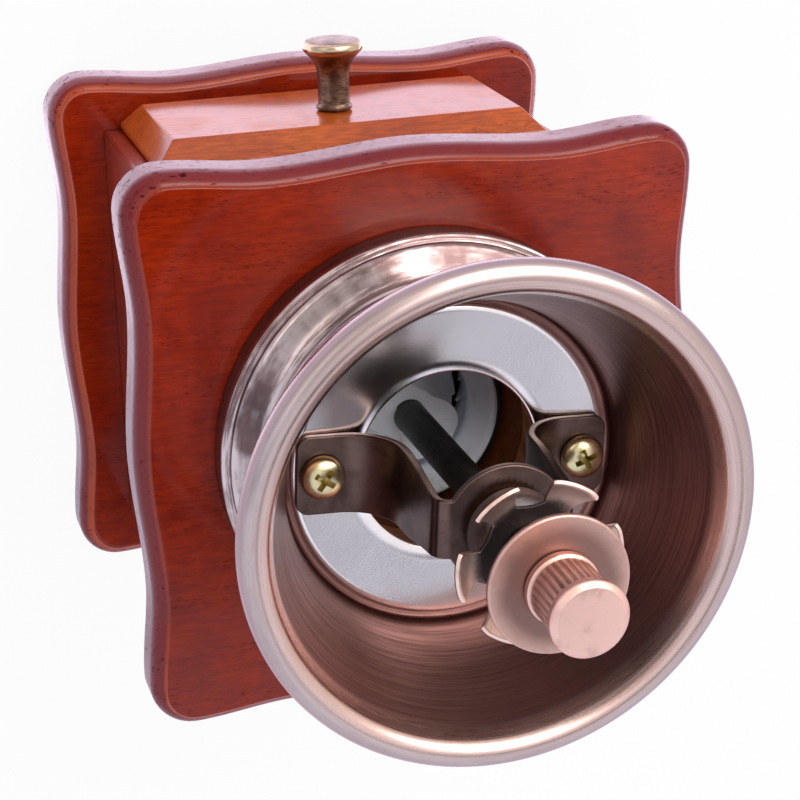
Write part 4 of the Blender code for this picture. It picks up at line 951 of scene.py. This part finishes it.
def thread_tree():
    """Winds a ridge round the rod that comes in."""
    tree = Tree("thread_round_a_rod", Radius="Float", Pitch="Float", Turns="Float", Height="Float",
                Ridge="Float", Finish="Material")
    rise = tree.node("ShaderNodeMath", {"operation": 'MULTIPLY'},
                     {0: tree.size("Pitch"), 1: tree.size("Turns")})[0]
    helix = tree.node("GeometryNodeCurveSpiral", {}, {
        "Resolution": 40, "Rotations": tree.size("Turns"), "Start Radius": tree.size("Radius"),
        "End Radius": tree.size("Radius"), "Height": rise, "Reverse": False})[0]
    ridge = tree.node("GeometryNodeCurvePrimitiveCircle", {}, {
        "Resolution": 4, "Radius": tree.size("Ridge")})[0]
    wound = tree.node("GeometryNodeCurveToMesh", {}, {
        "Curve": helix, "Profile Curve": ridge, "Fill Caps": True})[0]
    return tree.end(tree.raised(wound))


PLACING = placing_tree()
CIRCLING = circling_tree()
THREAD = thread_tree()


def places(points):
    mesh = bpy.data.meshes.new("places")
    mesh.from_pydata(points, [], [])
    return stand("places", mesh)


# Screws

# Each screw: its shank's and its head's radius and the head's height
BASE_SCREW = (0.00175, 0.0036, 0.0022)
HOLDER_SCREW = (0.0016, 0.0030, 0.0020)
BRACKET_SCREW = (0.0020, 0.0041, 0.0026)
KNOB_SCREW = (0.0019, 0.0036, 0.0020)
BASE_SCREW_REACH = 0.024


def recess(half_long, half_wide, top, deep, turn):
    """One bar of the cross in a screw's head."""
    rings = []
    for share, height in ((1.0, top), (0.86, top - deep * 0.35), (0.22, top - deep)):
        corner = Vector((half_long * share, half_wide * between(0.45, 1.0, share)))
        rings.append(oblong(-corner, corner, height))
    return workpiece("recess", moved(loft(rings), Matrix.Rotation(turn, 4, 'Z')))


def cross_screw(kind, length):
    """A domed screw standing head up, with the cross cut into its head."""
    radius, head, high = kind
    profile = [(0.0, -length), (radius * 0.4, -length + radius * 0.3),
               (radius, -length + radius * 2), (radius, -0.0002), (radius + 0.0002, 0.0),
               (head - 0.0002, 0.0), (head, 0.0002)]
    profile += curve((head, high / 4), (head, high * 0.8), (head / 2, high), (0.0, high), 12)
    profile += [(0.0, high)]
    made = workpiece("screw", turned(profile, 64))
    bars = [recess(head * 0.56, head * 0.14, high + 0.0003, high * 0.85 + 0.0003, turn)
            for turn in (0.0, math.pi / 2)]
    for bar in bars:
        hollow(made, bar)
    mesh = baked(made)
    mesh.set_sharp_from_angle(angle=math.radians(30))
    for bar in bars:
        bpy.data.objects.remove(bar)
    return stand("screw", mesh)


def screws(name, part, points, tilt, turn, step, finish, slot, *nodes):
    """Copies of a screw at several places in the case, as one piece."""
    mesh = PLACING.worked(places(points), Part=part, Tilt=tilt, Turn=turn, Step=step,
                          Finish=FINISHES[finish])
    bpy.data.objects.remove(part)
    install(name, mesh, finish, "case", slot, *nodes)


def build_screws():
    for name, kind, reach, turn, step, count in (
            ("base_screw", BASE_SCREW, BASE_SCREW_REACH, 0.3, 0.7, 4),
            ("holder_screw", HOLDER_SCREW, None, 0.2, 0.5, 3)):
        nodes = [f"{name}_{i + 1}" for i in range(count)]
        head_high = kind[2]
        points = []
        for node in nodes:
            low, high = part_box(node)
            middle = (low + high) / 2
            points.append(Vector((middle.x, middle.y, low.z + head_high)))
        screws(name + "s", cross_screw(kind, reach or high.z - low.z - head_high), points, math.pi,
               turn, step, "steel", "steel", *nodes)
    for node, turn in (("bracket_screw_left", 0.35), ("bracket_screw_right", 0.95)):
        low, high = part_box(node)
        middle, head_high = (low + high) / 2, BRACKET_SCREW[2]
        screws(node, cross_screw(BRACKET_SCREW, high.z - low.z - head_high),
               [Vector((middle.x, middle.y, high.z - head_high))], 0.0, turn, 0.0, "zinc",
               "yellow_zinc", node)
    low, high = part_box("knob_screw")
    middle, head_high = (low + high) / 2, KNOB_SCREW[2]
    part = cross_screw(KNOB_SCREW, high.y - low.y - head_high)
    shape = bmesh.new()
    shape.from_mesh(part.data)
    bpy.data.objects.remove(part)
    place = Matrix.Translation((middle.x, high.y - head_high, middle.z))
    dress("knob_screw", moved(shape, place @ Matrix.Rotation(-math.pi / 2, 4, 'X')), "steel",
          "drawer", "steel", sharp=30.0)


# Bowl, riser and plate

# Places on the bowl's section, as (radius, height over the top board)
SKIRT_RADIUS = 0.0408
BEAD = (0.0402, 0.0057)
BEAD_ROLL = 0.00083
GROOVE = (0.0395, 0.0070)
SHOULDER = (0.0352, 0.0098)
WAIST = (0.0330, 0.0150)
BELLY = (0.0332, 0.0225)
THROW = (0.0386, 0.0330)
WALL_TOP = (0.0424, 0.0403)
LIP = (0.0410, 0.0443)
BOWL_STEPS = 192
PLATE_HOLE = 0.01735
PLATE_DISH = 0.0004


def bowl_profile():
    """The spun bowl's section, foot to floor over the rim, and which places are its inner wall."""
    gap, skirt = SEAT_GAP, SKIRT_RADIUS
    outside = [(skirt - 0.0002, gap), (skirt - 0.00004, gap + 0.0001), (skirt, gap + 0.0003),
               (skirt, 0.0043), (skirt + 0.00004, 0.0047)]
    outside += arc(BEAD, BEAD_ROLL, math.radians(-38), math.radians(80), 7)
    outside += [(0.0399, 0.00658), (0.03955, 0.00672), GROOVE, (0.0394, 0.00735)]
    outside += curve((0.0393, 0.0076), SHOULDER, (WAIST[0], 0.0109), WAIST, 14)
    outside += curve(WAIST, BELLY, THROW, WALL_TOP, 22)
    lip_angle = math.atan2(LIP[1] - RIM_HEIGHT, LIP[0] - RIM_RADIUS)
    roll = arc((RIM_RADIUS, RIM_HEIGHT), RIM_ROLL, math.radians(-105), lip_angle, 22)
    inside = curve((WAIST[0] - SHEET, FLOOR_HEIGHT + SHEET), (BELLY[0] - SHEET, BELLY[1]),
                   (THROW[0] - SHEET, THROW[1]), LIP, 22)
    inside.reverse()
    inside += [(0.03186, 0.01425), (0.03145, 0.01385), (0.0309, 0.01364), (0.0302, FLOOR_HEIGHT),
               (FLOOR_HOLE, FLOOR_HEIGHT)]
    under_floor = FLOOR_HEIGHT - SHEET
    under = [(FLOOR_HOLE, under_floor)]
    under += curve((WAIST[0] - SHEET, under_floor), (WAIST[0], SHOULDER[1]),
                   (SHOULDER[0], SHOULDER[1] - SHEET), (GROOVE[0] - SHEET, GROOVE[1] - SHEET), 8)
    under += [(skirt - SHEET, 0.0048), (skirt - SHEET, gap)]
    rim_end = len(outside + roll)
    return outside + roll + inside + under, range(rim_end + 1, rim_end + len(inside))


def build_hopper():
    profile, inner_places = bowl_profile()
    shape = moved(turned(profile, BOWL_STEPS, True), Matrix.Translation((0, 0, TOP_FACE)))
    inner_wall = shape.verts.layers.float.new("inner_wall")
    for index, corner in enumerate(shape.verts):
        corner[inner_wall] = 1.0 if index // BOWL_STEPS in inner_places else 0.0
    dress("hopper_bowl", shape, "bowl", "case", "antique_copper", flat=False, sharp=50.0)
    low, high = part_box("hopper_riser")
    outer = (high.x - low.x) / 2
    corners = [(outer, low.z), (outer, high.z), (BORE_RADIUS, high.z), (BORE_RADIUS, low.z)]
    dress("hopper_riser", turned(rounded(corners, 0.0003, 2, True), 96, True), "riser", "case",
          "plain_wood")
    low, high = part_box("hopper_plate")
    outer, face, thick, hole = (high.x - low.x) / 2, high.z - PLATE_DISH, high.z - low.z, PLATE_HOLE
    corners = [(outer - 0.00005, low.z), (outer, low.z + 0.0001), (outer, high.z - 0.0004),
               (outer - 0.00012, high.z - 0.00012), (outer - 0.0004, high.z),
               (outer - 0.0012, high.z), (hole + 0.0030, face)]
    corners += curve((hole + 0.0026, face), (hole + 0.0014, face),
                     (hole + 0.0004, face - thick * 0.2), (hole, high.z - thick * 0.66), 8)
    corners += [(hole - 0.00005, high.z - thick * 0.75), (hole, low.z)]
    dress("hopper_plate", turned(corners, 160, True), "plate", "case", "satin_nickel", flat=False)


# Bracket and bush

def strap_path(foot_height, hub_height):
    """The strap's middle line from a foot's end to near the spindle, as (reach, height)."""
    corners = [Vector((STRAP_REACH, foot_height)), Vector((LEG_PLACE, foot_height)),
               Vector((LEG_PLACE, hub_height)), Vector((0.0, hub_height))]
    path = [Vector((STRAP_REACH - FOOT_CORNER * share, foot_height))
            for share in (0.0, 0.03, 0.08, 0.16, 0.28, 0.45, 0.7, 1.0)]
    for index, radius, steps in ((1, FOOT_BEND, 16), (2, NECK_BEND, 10)):
        before, corner, after = corners[index - 1:index + 2]
        back = (before - corner).normalized()
        ahead = (after - corner).normalized()
        centre = corner + (back + ahead) * radius
        for step in range(steps + 1):
            angle = math.pi / 2 * step / steps
            path.append(centre - ahead * radius * math.cos(angle) - back * radius * math.sin(angle))
        if index == 1:
            start = path[-1]
            end = corner + ahead * (hub_height - foot_height - NECK_BEND)
            path += [start.lerp(end, step / 8) for step in range(1, 8)]
    path += [Vector((HUB_RADIUS * share, hub_height))
             for share in (0.84, 0.78, 0.70, 0.60, 0.50, 0.40, 0.30, 0.20, 0.10)]
    return path


def strap_half(reach, height, foot_height, hub_height):
    """Half of the strap's width at a place on its middle line."""
    from_end = max(STRAP_REACH - reach, 0.0)
    if height > hub_height - 0.0003 and reach < HUB_RADIUS:
        return max(math.sqrt(HUB_RADIUS ** 2 - reach ** 2), NECK_HALF)
    if from_end < FOOT_CORNER:
        rounding = math.sqrt(FOOT_CORNER ** 2 - (FOOT_CORNER - from_end) ** 2)
        return STRAP_HALF - FOOT_CORNER + rounding
    up = (height - foot_height) / (hub_height - foot_height)
    return between(STRAP_HALF, NECK_HALF, ease((up - 0.35) / 0.65))


def strap_section(half):
    """A rounded oblong section, as (across, out) pairs all the way round."""
    thick, soft = STRAP_THICK / 2, STRAP_SOFT
    ring = []
    for across, out, start in ((1, 1, 0.0), (-1, 1, 0.5), (-1, -1, 1.0), (1, -1, 1.5)):
        for step in range(4):
            angle = (start + step / 6) * math.pi
            ring.append((across * (half - soft) + soft * math.cos(angle),
                         out * (thick - soft) + soft * math.sin(angle)))
    return ring


def build_bracket():
    low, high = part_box("bridge_bracket")
    foot_height = low.z + STRAP_THICK / 2
    hub_height = high.z - STRAP_THICK / 2
    stations = strap_path(foot_height, hub_height)
    stations += [Vector((0.0, hub_height))] + [Vector((-p.x, p.y)) for p in reversed(stations)]
    last = len(stations) - 1
    rings = []
    for index, point in enumerate(stations):
        run = (stations[min(index + 1, last)] - stations[max(index - 1, 0)]).normalized()
        out = Vector((-run.y, run.x)) * (0.78 if index in (0, last) else 1.0)
        half = strap_half(abs(point.x), point.y, foot_height, hub_height)
        rings.append([Vector((point.x + out.x * o, a, point.y + out.y * o))
                      for a, o in strap_section(half)])
    turn = Matrix.Rotation(STRAP_TURN, 4, 'Z')
    cutters = []
    for reach, radius, height in ((0.0, HUB_HOLE, high.z - 0.001),
                                  (-SCREW_PLACE, FOOT_HOLE, low.z + 0.001),
                                  (SCREW_PLACE, FOOT_HOLE, low.z + 0.001)):
        drill = bmesh.new()
        bmesh.ops.create_cone(drill, cap_ends=True, segments=48, radius1=radius, radius2=radius,
                              depth=0.004)
        place = Matrix.Translation(turn @ Vector((reach, 0.0, 0.0)) + TOP * height)
        cutters.append(workpiece("drill", moved(drill, place)))
    dress("bridge_bracket", moved(loft(rings), turn), "bracket", "case", "antique_copper",
          cutters=cutters, sharp=45.0)
    low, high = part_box("spindle_bush")
    bore, body, flange = 0.00326, 0.0049, 0.0070
    under = high.z - 0.0009
    corners = [(bore, low.z), (body, low.z), (body, under), (flange, under), (flange, high.z),
               (bore, high.z)]
    profile = rounded(corners, [0.0002, 0.0002, 0.0, 0.0002, 0.00035, 0.0002], 3, True)
    dress("spindle_bush", turned(profile, 96, True), "bronze", "case", "bronze")


# Drive collar, cog, washer and nut

def build_drive():
    low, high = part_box("drive_collar")
    inner, outer = 0.004, (high.x - low.x) / 2
    profile = rounded([(inner, low.z), (outer, low.z), (outer, high.z), (inner, high.z)], 0.0007, 5)
    rings = [flatted_ring(ROD_BORE, FLAT_BORE, 2, low.z)]
    rings += [round_ring(radius, height) for radius, height in profile]
    rings += [flatted_ring(ROD_BORE, FLAT_BORE, 2, high.z)]
    dress("drive_collar", loft(rings, joined=True), "steel", "drive", "steel")


def petal_point(middle, share, across):
    """A point on a petal: share 0 at its root to 1 at its tip, across from -1 to 1."""
    radius = between(COG_ROOT, COG_TIP, share ** PETAL_REACH_POWER)
    height = COG_RISE * share ** PETAL_RISE_POWER
    half = between(PETAL_ROOT_HALF, PETAL_TIP_HALF, share ** 2)
    angle = middle + half * across
    return Vector((radius * math.cos(angle), radius * math.sin(angle), height))


def cog_sheet():
    """The cog's sheet without its thickness: a flat ring with curled petals round it."""
    shape = bmesh.new()
    pitch = math.tau / PETALS
    steps, rows, notch = 12, 12, 6
    gap = pitch - 2 * PETAL_ROOT_HALF
    hole_ring, middle_ring, root_ring = [], [], []
    for petal in range(PETALS):
        middle = COG_TURN + petal * pitch
        angles = [middle + PETAL_ROOT_HALF * (2 * i / steps - 1) for i in range(steps + 1)]
        angles += [angles[-1] + gap * i / notch for i in range(1, notch)]
        for index, angle in enumerate(angles):
            outward = Vector((math.cos(angle), math.sin(angle), 0.0))
            dip = 0.0006 * math.sin(math.pi * max(index - steps, 0) / notch)
            hole_ring.append(shape.verts.new(outward * COG_HOLE))
            middle_ring.append(shape.verts.new(outward * COG_MIDDLE))
            root_ring.append(shape.verts.new(outward * (COG_ROOT - dip)))
    skin(shape, hole_ring, middle_ring)
    skin(shape, middle_ring, root_ring)
    for petal in range(PETALS):
        start = petal * (steps + notch)
        row = root_ring[start:start + steps + 1]
        for ring in range(1, rows + 1):
            share = ring / rows
            upper = []
            for i in range(steps + 1):
                across = 2 * i / steps - 1
                blunt = 1.0 - 0.05 * max(0.0, abs(across) - 0.7) / 0.3 * share ** 6
                point = petal_point(COG_TURN + petal * pitch, share * blunt, across)
                upper.append(shape.verts.new(point))
            for i in range(steps):
                shape.faces.new((row[i], row[i + 1], upper[i + 1], upper[i]))
            row = upper
    bmesh.ops.recalc_face_normals(shape, faces=shape.faces)
    if sum(face.normal.z for face in shape.faces) < 0:
        bmesh.ops.reverse_faces(shape, faces=shape.faces)
    return shape


def build_cog():
    low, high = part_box("cog_hub")
    spigot, hub, flange = 0.0046, (high.x - low.x) / 2, high.z - 0.0040
    corners = [(ROD_BORE, low.z), (spigot, low.z), (spigot, flange), (hub, flange), (hub, high.z),
               (ROD_BORE, high.z)]
    profile = rounded(corners, [0.0002, 0.0002, 0.0, 0.0002, 0.0004, 0.0003], 3, True)
    dress("cog_hub", turned(profile, 96, True), "steel", "cog", "steel")
    lift = Matrix.Translation(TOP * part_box("cog_wheel")[0].z)
    made = workpiece("cog_wheel", moved(cog_sheet(), lift), 60.0)
    thick = made.modifiers.new("sheet", 'SOLIDIFY')
    thick.thickness = COG_SHEET
    thick.offset = 1.0
    thick.use_even_offset = True
    bevelled(made, 0.00030, 3, 50)
    made.modifiers.new("flat", 'WEIGHTED_NORMAL')
    install("cog_wheel", baked(made), "cog", "cog", "brushed_copper", "cog_wheel")


def build_clamp():
    low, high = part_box("crank_washer")
    hole, outer = 0.0026, (high.x - low.x) / 2
    corners = [(hole, low.z), (outer, low.z), (outer, high.z), (hole, high.z)]
    profile = rounded(corners, [0.0002, 0.0004, 0.0005, 0.0002], 4, True)
    dress("crank_washer", turned(profile, 128, True), "washer", "washer", "brushed_copper")

    low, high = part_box("thumb_nut")
    bore, collar, band, cap = 0.00255, 0.0063, 0.0057, 0.0067
    band_low, band_high = low.z + 0.00185, low.z + 0.01085
    corners = [(0.0, high.z - 0.0017), (bore, high.z - 0.0017), (bore, low.z), (collar, low.z),
               (collar, low.z + 0.0015), (band, band_low), (band, band_high),
               (cap, band_high + 0.00035), (cap, high.z - 0.0008), (cap - 0.0009, high.z),
               (0.0, high.z)]
    radii = [0.0, 0.0, 0.0003, 0.0003, 0.0003, 0.0001, 0.0001, 0.0003, 0.0006, 0.0005, 0.0]
    core = workpiece("thumb_nut", turned(rounded(corners, radii, 4), 120))
    half_high = (band_high - band_low) / 2
    base, wide, proud, fade = -0.0004, 0.00056, 0.0002, 0.3
    rings = []
    for height, tip in ((-half_high, proud * fade), (0.0003 - half_high, proud),
                        (half_high - 0.0003, proud), (half_high, proud * fade)):
        rings.append([Vector((out, wide * share, height)) for out, share in (
            (base, -1.0), (0.0, -0.75), (tip, -0.25), (tip, 0.25), (0.0, 0.75), (base, 1.0))])
    ridge = workpiece("ridge", loft(rings))
    mesh = CIRCLING.worked(core, Part=ridge, Count=30, Radius=band,
                           Height=(band_low + band_high) / 2, Finish=FINISHES["nut"])
    bpy.data.objects.remove(ridge)
    install("thumb_nut", mesh, "nut", "nut", "brushed_copper", "thumb_nut")


# Spindle and burrs

def threaded(rod, radius, pitch, ridge, start, long):
    """The mesh of a rod with a thread wound round it."""
    return THREAD.worked(rod, Radius=radius, Pitch=pitch, Turns=long / pitch, Height=start,
                         Ridge=ridge, Finish=FINISHES["black_steel"])


def build_spindle():
    low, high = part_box("spindle")
    square_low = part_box("cog_hub")[1].z + 0.0003
    square_top = square_low + 0.0060
    flats_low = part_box("drive_collar")[0].z - 0.0018
    burr_low, burr_top = BURR_TOP - BURR_HEIGHT - 0.0003, BURR_TOP + 0.0003
    rod, thin, foot = ROD_RADIUS, 0.00205, 0.00265

    def ring(radius, height, flats=0, trim=0.0):
        if flats:
            return flatted_ring(radius - trim, FLAT_ACROSS - 2 * trim, flats, height)
        return round_ring(radius, height)

    rings = [ring(foot - 0.0005, low.z), ring(foot, low.z + 0.0006), ring(foot, burr_low),
             ring(rod, burr_low, 2), ring(rod, burr_top, 2), ring(rod, burr_top),
             ring(rod, flats_low), ring(rod, flats_low + 0.0004, 2), ring(rod, square_low, 2),
             ring(rod, square_low + 0.0006, 4), ring(rod, square_top - 0.0002, 4),
             ring(rod, square_top, 4, 0.0002), ring(thin, square_top),
             ring(thin, high.z - 0.0006), ring(thin - 0.0006, high.z)]
    made = workpiece("spindle", loft(rings), 30.0)
    evened(made)
    mesh = threaded(made, thin, 0.0008, 0.0003, square_top + 0.0005, high.z - square_top - 0.0016)
    mesh = threaded(stand("spindle", mesh), foot, 0.0010, 0.00025, low.z + 0.0009,
                    burr_low - low.z - 0.0016)
    install("spindle", mesh, "black_steel", "spindle_group", "blackened_steel", "spindle")

    low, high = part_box("burr_washer")
    hole, outer = 0.00305, (high.x - low.x) / 2
    corners = [(hole, low.z), (outer, low.z), (outer, high.z), (hole, high.z)]
    dress("burr_washer", turned(rounded(corners, 0.00025, 3, True), 72, True), "steel",
          "spindle_group", "steel")
    low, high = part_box("burr_nut")
    across, blunt, corner = 0.0100, 0.0052, 0.00577
    rings = [round_ring(hole, low.z)]
    rings += [flatted_ring(reach, across, 6, height) for reach, height in (
        (blunt, low.z), (corner, low.z + 0.0005), (corner, high.z - 0.0005), (blunt, high.z))]
    rings += [round_ring(hole, high.z)]
    dress("burr_nut", loft(rings, joined=True), "steel", "spindle_group", "steel", sharp=25.0)


def burr_radius(angle, share):
    """The turning burr's reach: a toothed skirt below, broad twisted vanes above."""
    reach = between(BURR_SKIRT, BURR_REACH, share)
    up = max(share - 0.28, 0.0) / 0.72
    core = between(reach, BURR_CORE, math.sin(up * math.pi / 2))
    swing = math.cos(2 * (angle - VANE_TWIST * share))
    tooth = (angle + TOOTH_LEAN * share) * BURR_TEETH / math.tau % 1.0
    groove = TOOTH_DEPTH * tooth * (1 - ease(up * 4))
    return between(core, reach, ease((swing + 1) / 2)) - groove


def build_inner_burr():
    count, levels = 192, 36
    low = BURR_TOP - BURR_HEIGHT
    rings = [flatted_ring(ROD_BORE, FLAT_BORE, 2, low, count)]
    for level in range(levels + 1):
        share = level / levels
        soft = 0.0004 if level in (0, levels) else 0.0
        reaches = [burr_radius(math.tau * i / count, share) - soft for i in range(count)]
        rings.append(ring_at(low + BURR_HEIGHT * share, reaches))
    rings.append(flatted_ring(ROD_BORE, FLAT_BORE, 2, BURR_TOP, count))
    dress("inner_burr", loft(rings, joined=True), "ceramic", "spindle_group", "white_ceramic",
          sharp=50.0, flat=False)


def build_ring_burr():
    low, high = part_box("ring_burr")
    count, height = 264, high.z - low.z
    throat_height = height * 0.68
    foot, throat, mouth, outer, soft = 0.0150, 0.0135, 0.0172, 0.0180, 0.0002

    def toothed(radius, place, depth=0.0):
        reaches = [radius + depth * (i * RING_TEETH / count % 1.0) for i in range(count)]
        return ring_at(low.z + place, reaches, TOOTH_LEAN * min(place / throat_height, 1.0))

    rings = []
    for step in range(9):
        share = step / 8
        rings.append(toothed(between(foot, throat, share), throat_height * share,
                             TOOTH_DEPTH * (1 - share) ** 1.5))
    for step in range(1, 7):
        share = step / 6
        rings.append(toothed(between(throat, mouth, share ** 1.3),
                             between(throat_height, height, share)))
    rings += [toothed(outer - soft, height), toothed(outer, height - soft), toothed(outer, soft),
              toothed(outer - soft, 0.0)]
    dress("ring_burr", loft(rings, joined=True), "ceramic", "case", "white_ceramic", sharp=50.0,
          flat=False)


def build_holder():
    low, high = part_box("burr_holder")
    flange_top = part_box("top_board")[0].z - 0.0003
    flange_low, seat = flange_top - 0.0025, low.z + 0.0018
    lip, inner, sleeve, barrel, flange = 0.0159, 0.0183, 0.0192, 0.0210, (high.x - low.x) / 2
    corners = [(sleeve, high.z), (sleeve, flange_top), (flange, flange_top), (flange, flange_low),
               (barrel, flange_low), (barrel, low.z), (lip, low.z), (lip, seat), (inner, seat),
               (inner, high.z)]
    radii = [0.0002, 0.0, 0.0005, 0.0005, 0.0006, 0.0005, 0.0005, 0.0003, 0.0, 0.0002]
    dress("burr_holder", turned(rounded(corners, radii, 3, True), 128, True), "plastic", "case",
          "black_plastic")


# Floor, lights and camera

FLOOR_CORNER = Vector((3.0, 3.0))
FLOOR_LEVEL = -0.0002
AIM = TOP * 0.1
WHITE = (1.0, 1.0, 1.0, 1.0)

# The camera fitted to the photograph: its lens, and its turn and shift from the top board's face
LENS = 97.341
CAMERA_TURN = Vector((0.10838691653942178, 2.8015667682328425, 0.5094511327597375))
CAMERA_SHIFT = Vector((4.772790251, 6.288251924, 410.572086068)) / 1000


def build_stage():
    """A floor that the camera sees nearly white and that gives the part its shadow and glow."""
    mesh = bpy.data.meshes.new("floor")
    mesh.from_pydata(oblong(-FLOOR_CORNER, FLOOR_CORNER, FLOOR_LEVEL), [], [(0, 1, 2, 3)])
    floor = stand("floor", mesh)
    finish = Finish("pale_floor", Base_Color=(0.86, 0.86, 0.86, 1.0), Roughness=0.8,
                    Specular_IOR_Level=0.1)
    camera, glossy, through = finish.rays("Camera", "Glossy", "Transmission")
    glow = finish.node("ShaderNodeEmission", {}, {"Color": WHITE, "Strength": 1.0})
    lit = Wire(finish, finish.shader.outputs[0])
    white = finish.node("ShaderNodeMixShader", {}, {0: camera * 0.93, 1: lit, 2: glow})
    x, y, z = finish.parts(finish.place())
    near = finish.step(finish.span(x, y), 0.24, 0.11) * finish.step(y, 0.05, -0.05)
    bright = finish.node("ShaderNodeEmission", {}, {
        "Color": (0.88, 0.78, 0.95, 1.0), "Strength": 0.95 + 1.35 * near})
    blend = finish.node("ShaderNodeMixShader", {}, {0: glossy + through, 1: white, 2: bright})
    finish.feed(finish.tree.nodes["Material Output"].inputs["Surface"], blend)
    mesh.materials.append(finish.material)


def heading(azimuth, polar, reach=1.0):
    """A place in the studio: degrees from +X towards +Y, and degrees down from straight up."""
    azimuth, polar = math.radians(azimuth), math.radians(polar)
    return Vector((math.sin(polar) * math.cos(azimuth), math.sin(polar) * math.sin(azimuth),
                   math.cos(polar))) * reach + AIM


def softbox(name, place, wide, high, power):
    """A lamp that faces the part and that the metal doesn't mirror."""
    lamp = bpy.data.lights.new(name, 'AREA')
    lamp.shape = 'RECTANGLE'
    lamp.size = wide
    lamp.size_y = high
    lamp.energy = power
    made = stand(name, lamp)
    made.visible_glossy = False
    made.location = place
    made.rotation_euler = (AIM - place).to_track_quat('-Z', 'Y').to_euler()


def build_world():
    """White for the camera; for the part a soft room, brighter and darker in bands."""
    world = bpy.data.worlds.new("studio")
    bpy.context.scene.world = world
    world.use_nodes = True
    studio = Painter(world.node_tree)
    x, y, z = studio.parts(studio.node("ShaderNodeTexCoord", output="Generated"))
    around = studio.sum("ARCTAN2", y, x)
    camera, glossy = studio.rays("Camera", "Glossy")

    def band(value, low, high, soft):
        rise = studio.step(value, low - soft, low + soft)
        return rise * studio.step(value, high + soft, high - soft)

    level = 0.98 - 0.38 * band(around, -1.25, -0.15, 0.25) * studio.step(z, 0.38, 0.12)
    for change, sides, heights in (
            (0.90, (-2.30, -1.45, 0.20), (0.30, 0.520, 0.08)),
            (0.70, (-0.98, -0.30, 0.12), (0.52, 0.660, 0.04)),
            (-0.40, (-1.60, -0.50, 0.05), (0.70, 0.925, 0.03)),
            (-0.50, (-0.06, 0.11, 0.04), (0.10, 0.840, 0.05)),
            (3.6 * glossy, (-2.70, -1.62, 0.03), (0.42, 0.950, 0.02))):
        level = level + change * band(around, *sides) * band(z, *heights)
    off_centre = studio.span(x + 0.1725, y - 0.276)
    spot = studio.step(off_centre, 0.176, 0.134) * studio.step(z, 0.5, 0.6)
    level = level * (1.0 - 0.98 * spot) * (0.42 + 0.58 * glossy)
    warm = studio.step(x * -0.4 + y * -0.92, -0.35, 0.45)
    tint = studio.mix(warm, (0.92, 0.95, 1.08, 1.0), (1.05, 0.98, 0.95, 1.0))
    sky = studio.tree.nodes["Background"]
    studio.feed(sky.inputs["Color"], studio.mix(camera, tint, WHITE))
    studio.feed(sky.inputs["Strength"], level * (1.0 - camera) + camera)


def build_lights():
    softbox("key_softbox", heading(237, 41), 0.72, 0.85, 5.0)
    softbox("top_softbox", heading(20, 12), 0.25, 0.25, 2.9)
    softbox("side_softbox", heading(170, 50, 0.5), 0.2, 0.2, 0.40)
    build_world()


def build_camera():
    camera = bpy.data.cameras.new("camera")
    camera.lens = LENS
    camera.sensor_width = 36.0
    made = stand("camera", camera)
    seen = Matrix.Rotation(CAMERA_TURN.length, 3, CAMERA_TURN.normalized()).transposed()
    eye = TOP * TOP_FACE - seen @ CAMERA_SHIFT
    flip = Matrix(((1, 0, 0), (0, -1, 0), (0, 0, -1)))
    made.matrix_world = Matrix.Translation(eye) @ (seen @ flip).to_4x4()
    bpy.context.scene.camera = made


for build in (build_boards, build_box, build_drawer, build_screws, build_hopper, build_bracket,
              build_drive, build_cog, build_clamp, build_spindle, build_inner_burr,
              build_ring_burr, build_holder, build_stage, build_lights, build_camera):
    build()
bpy.context.scene.view_settings.view_transform = 'Standard'
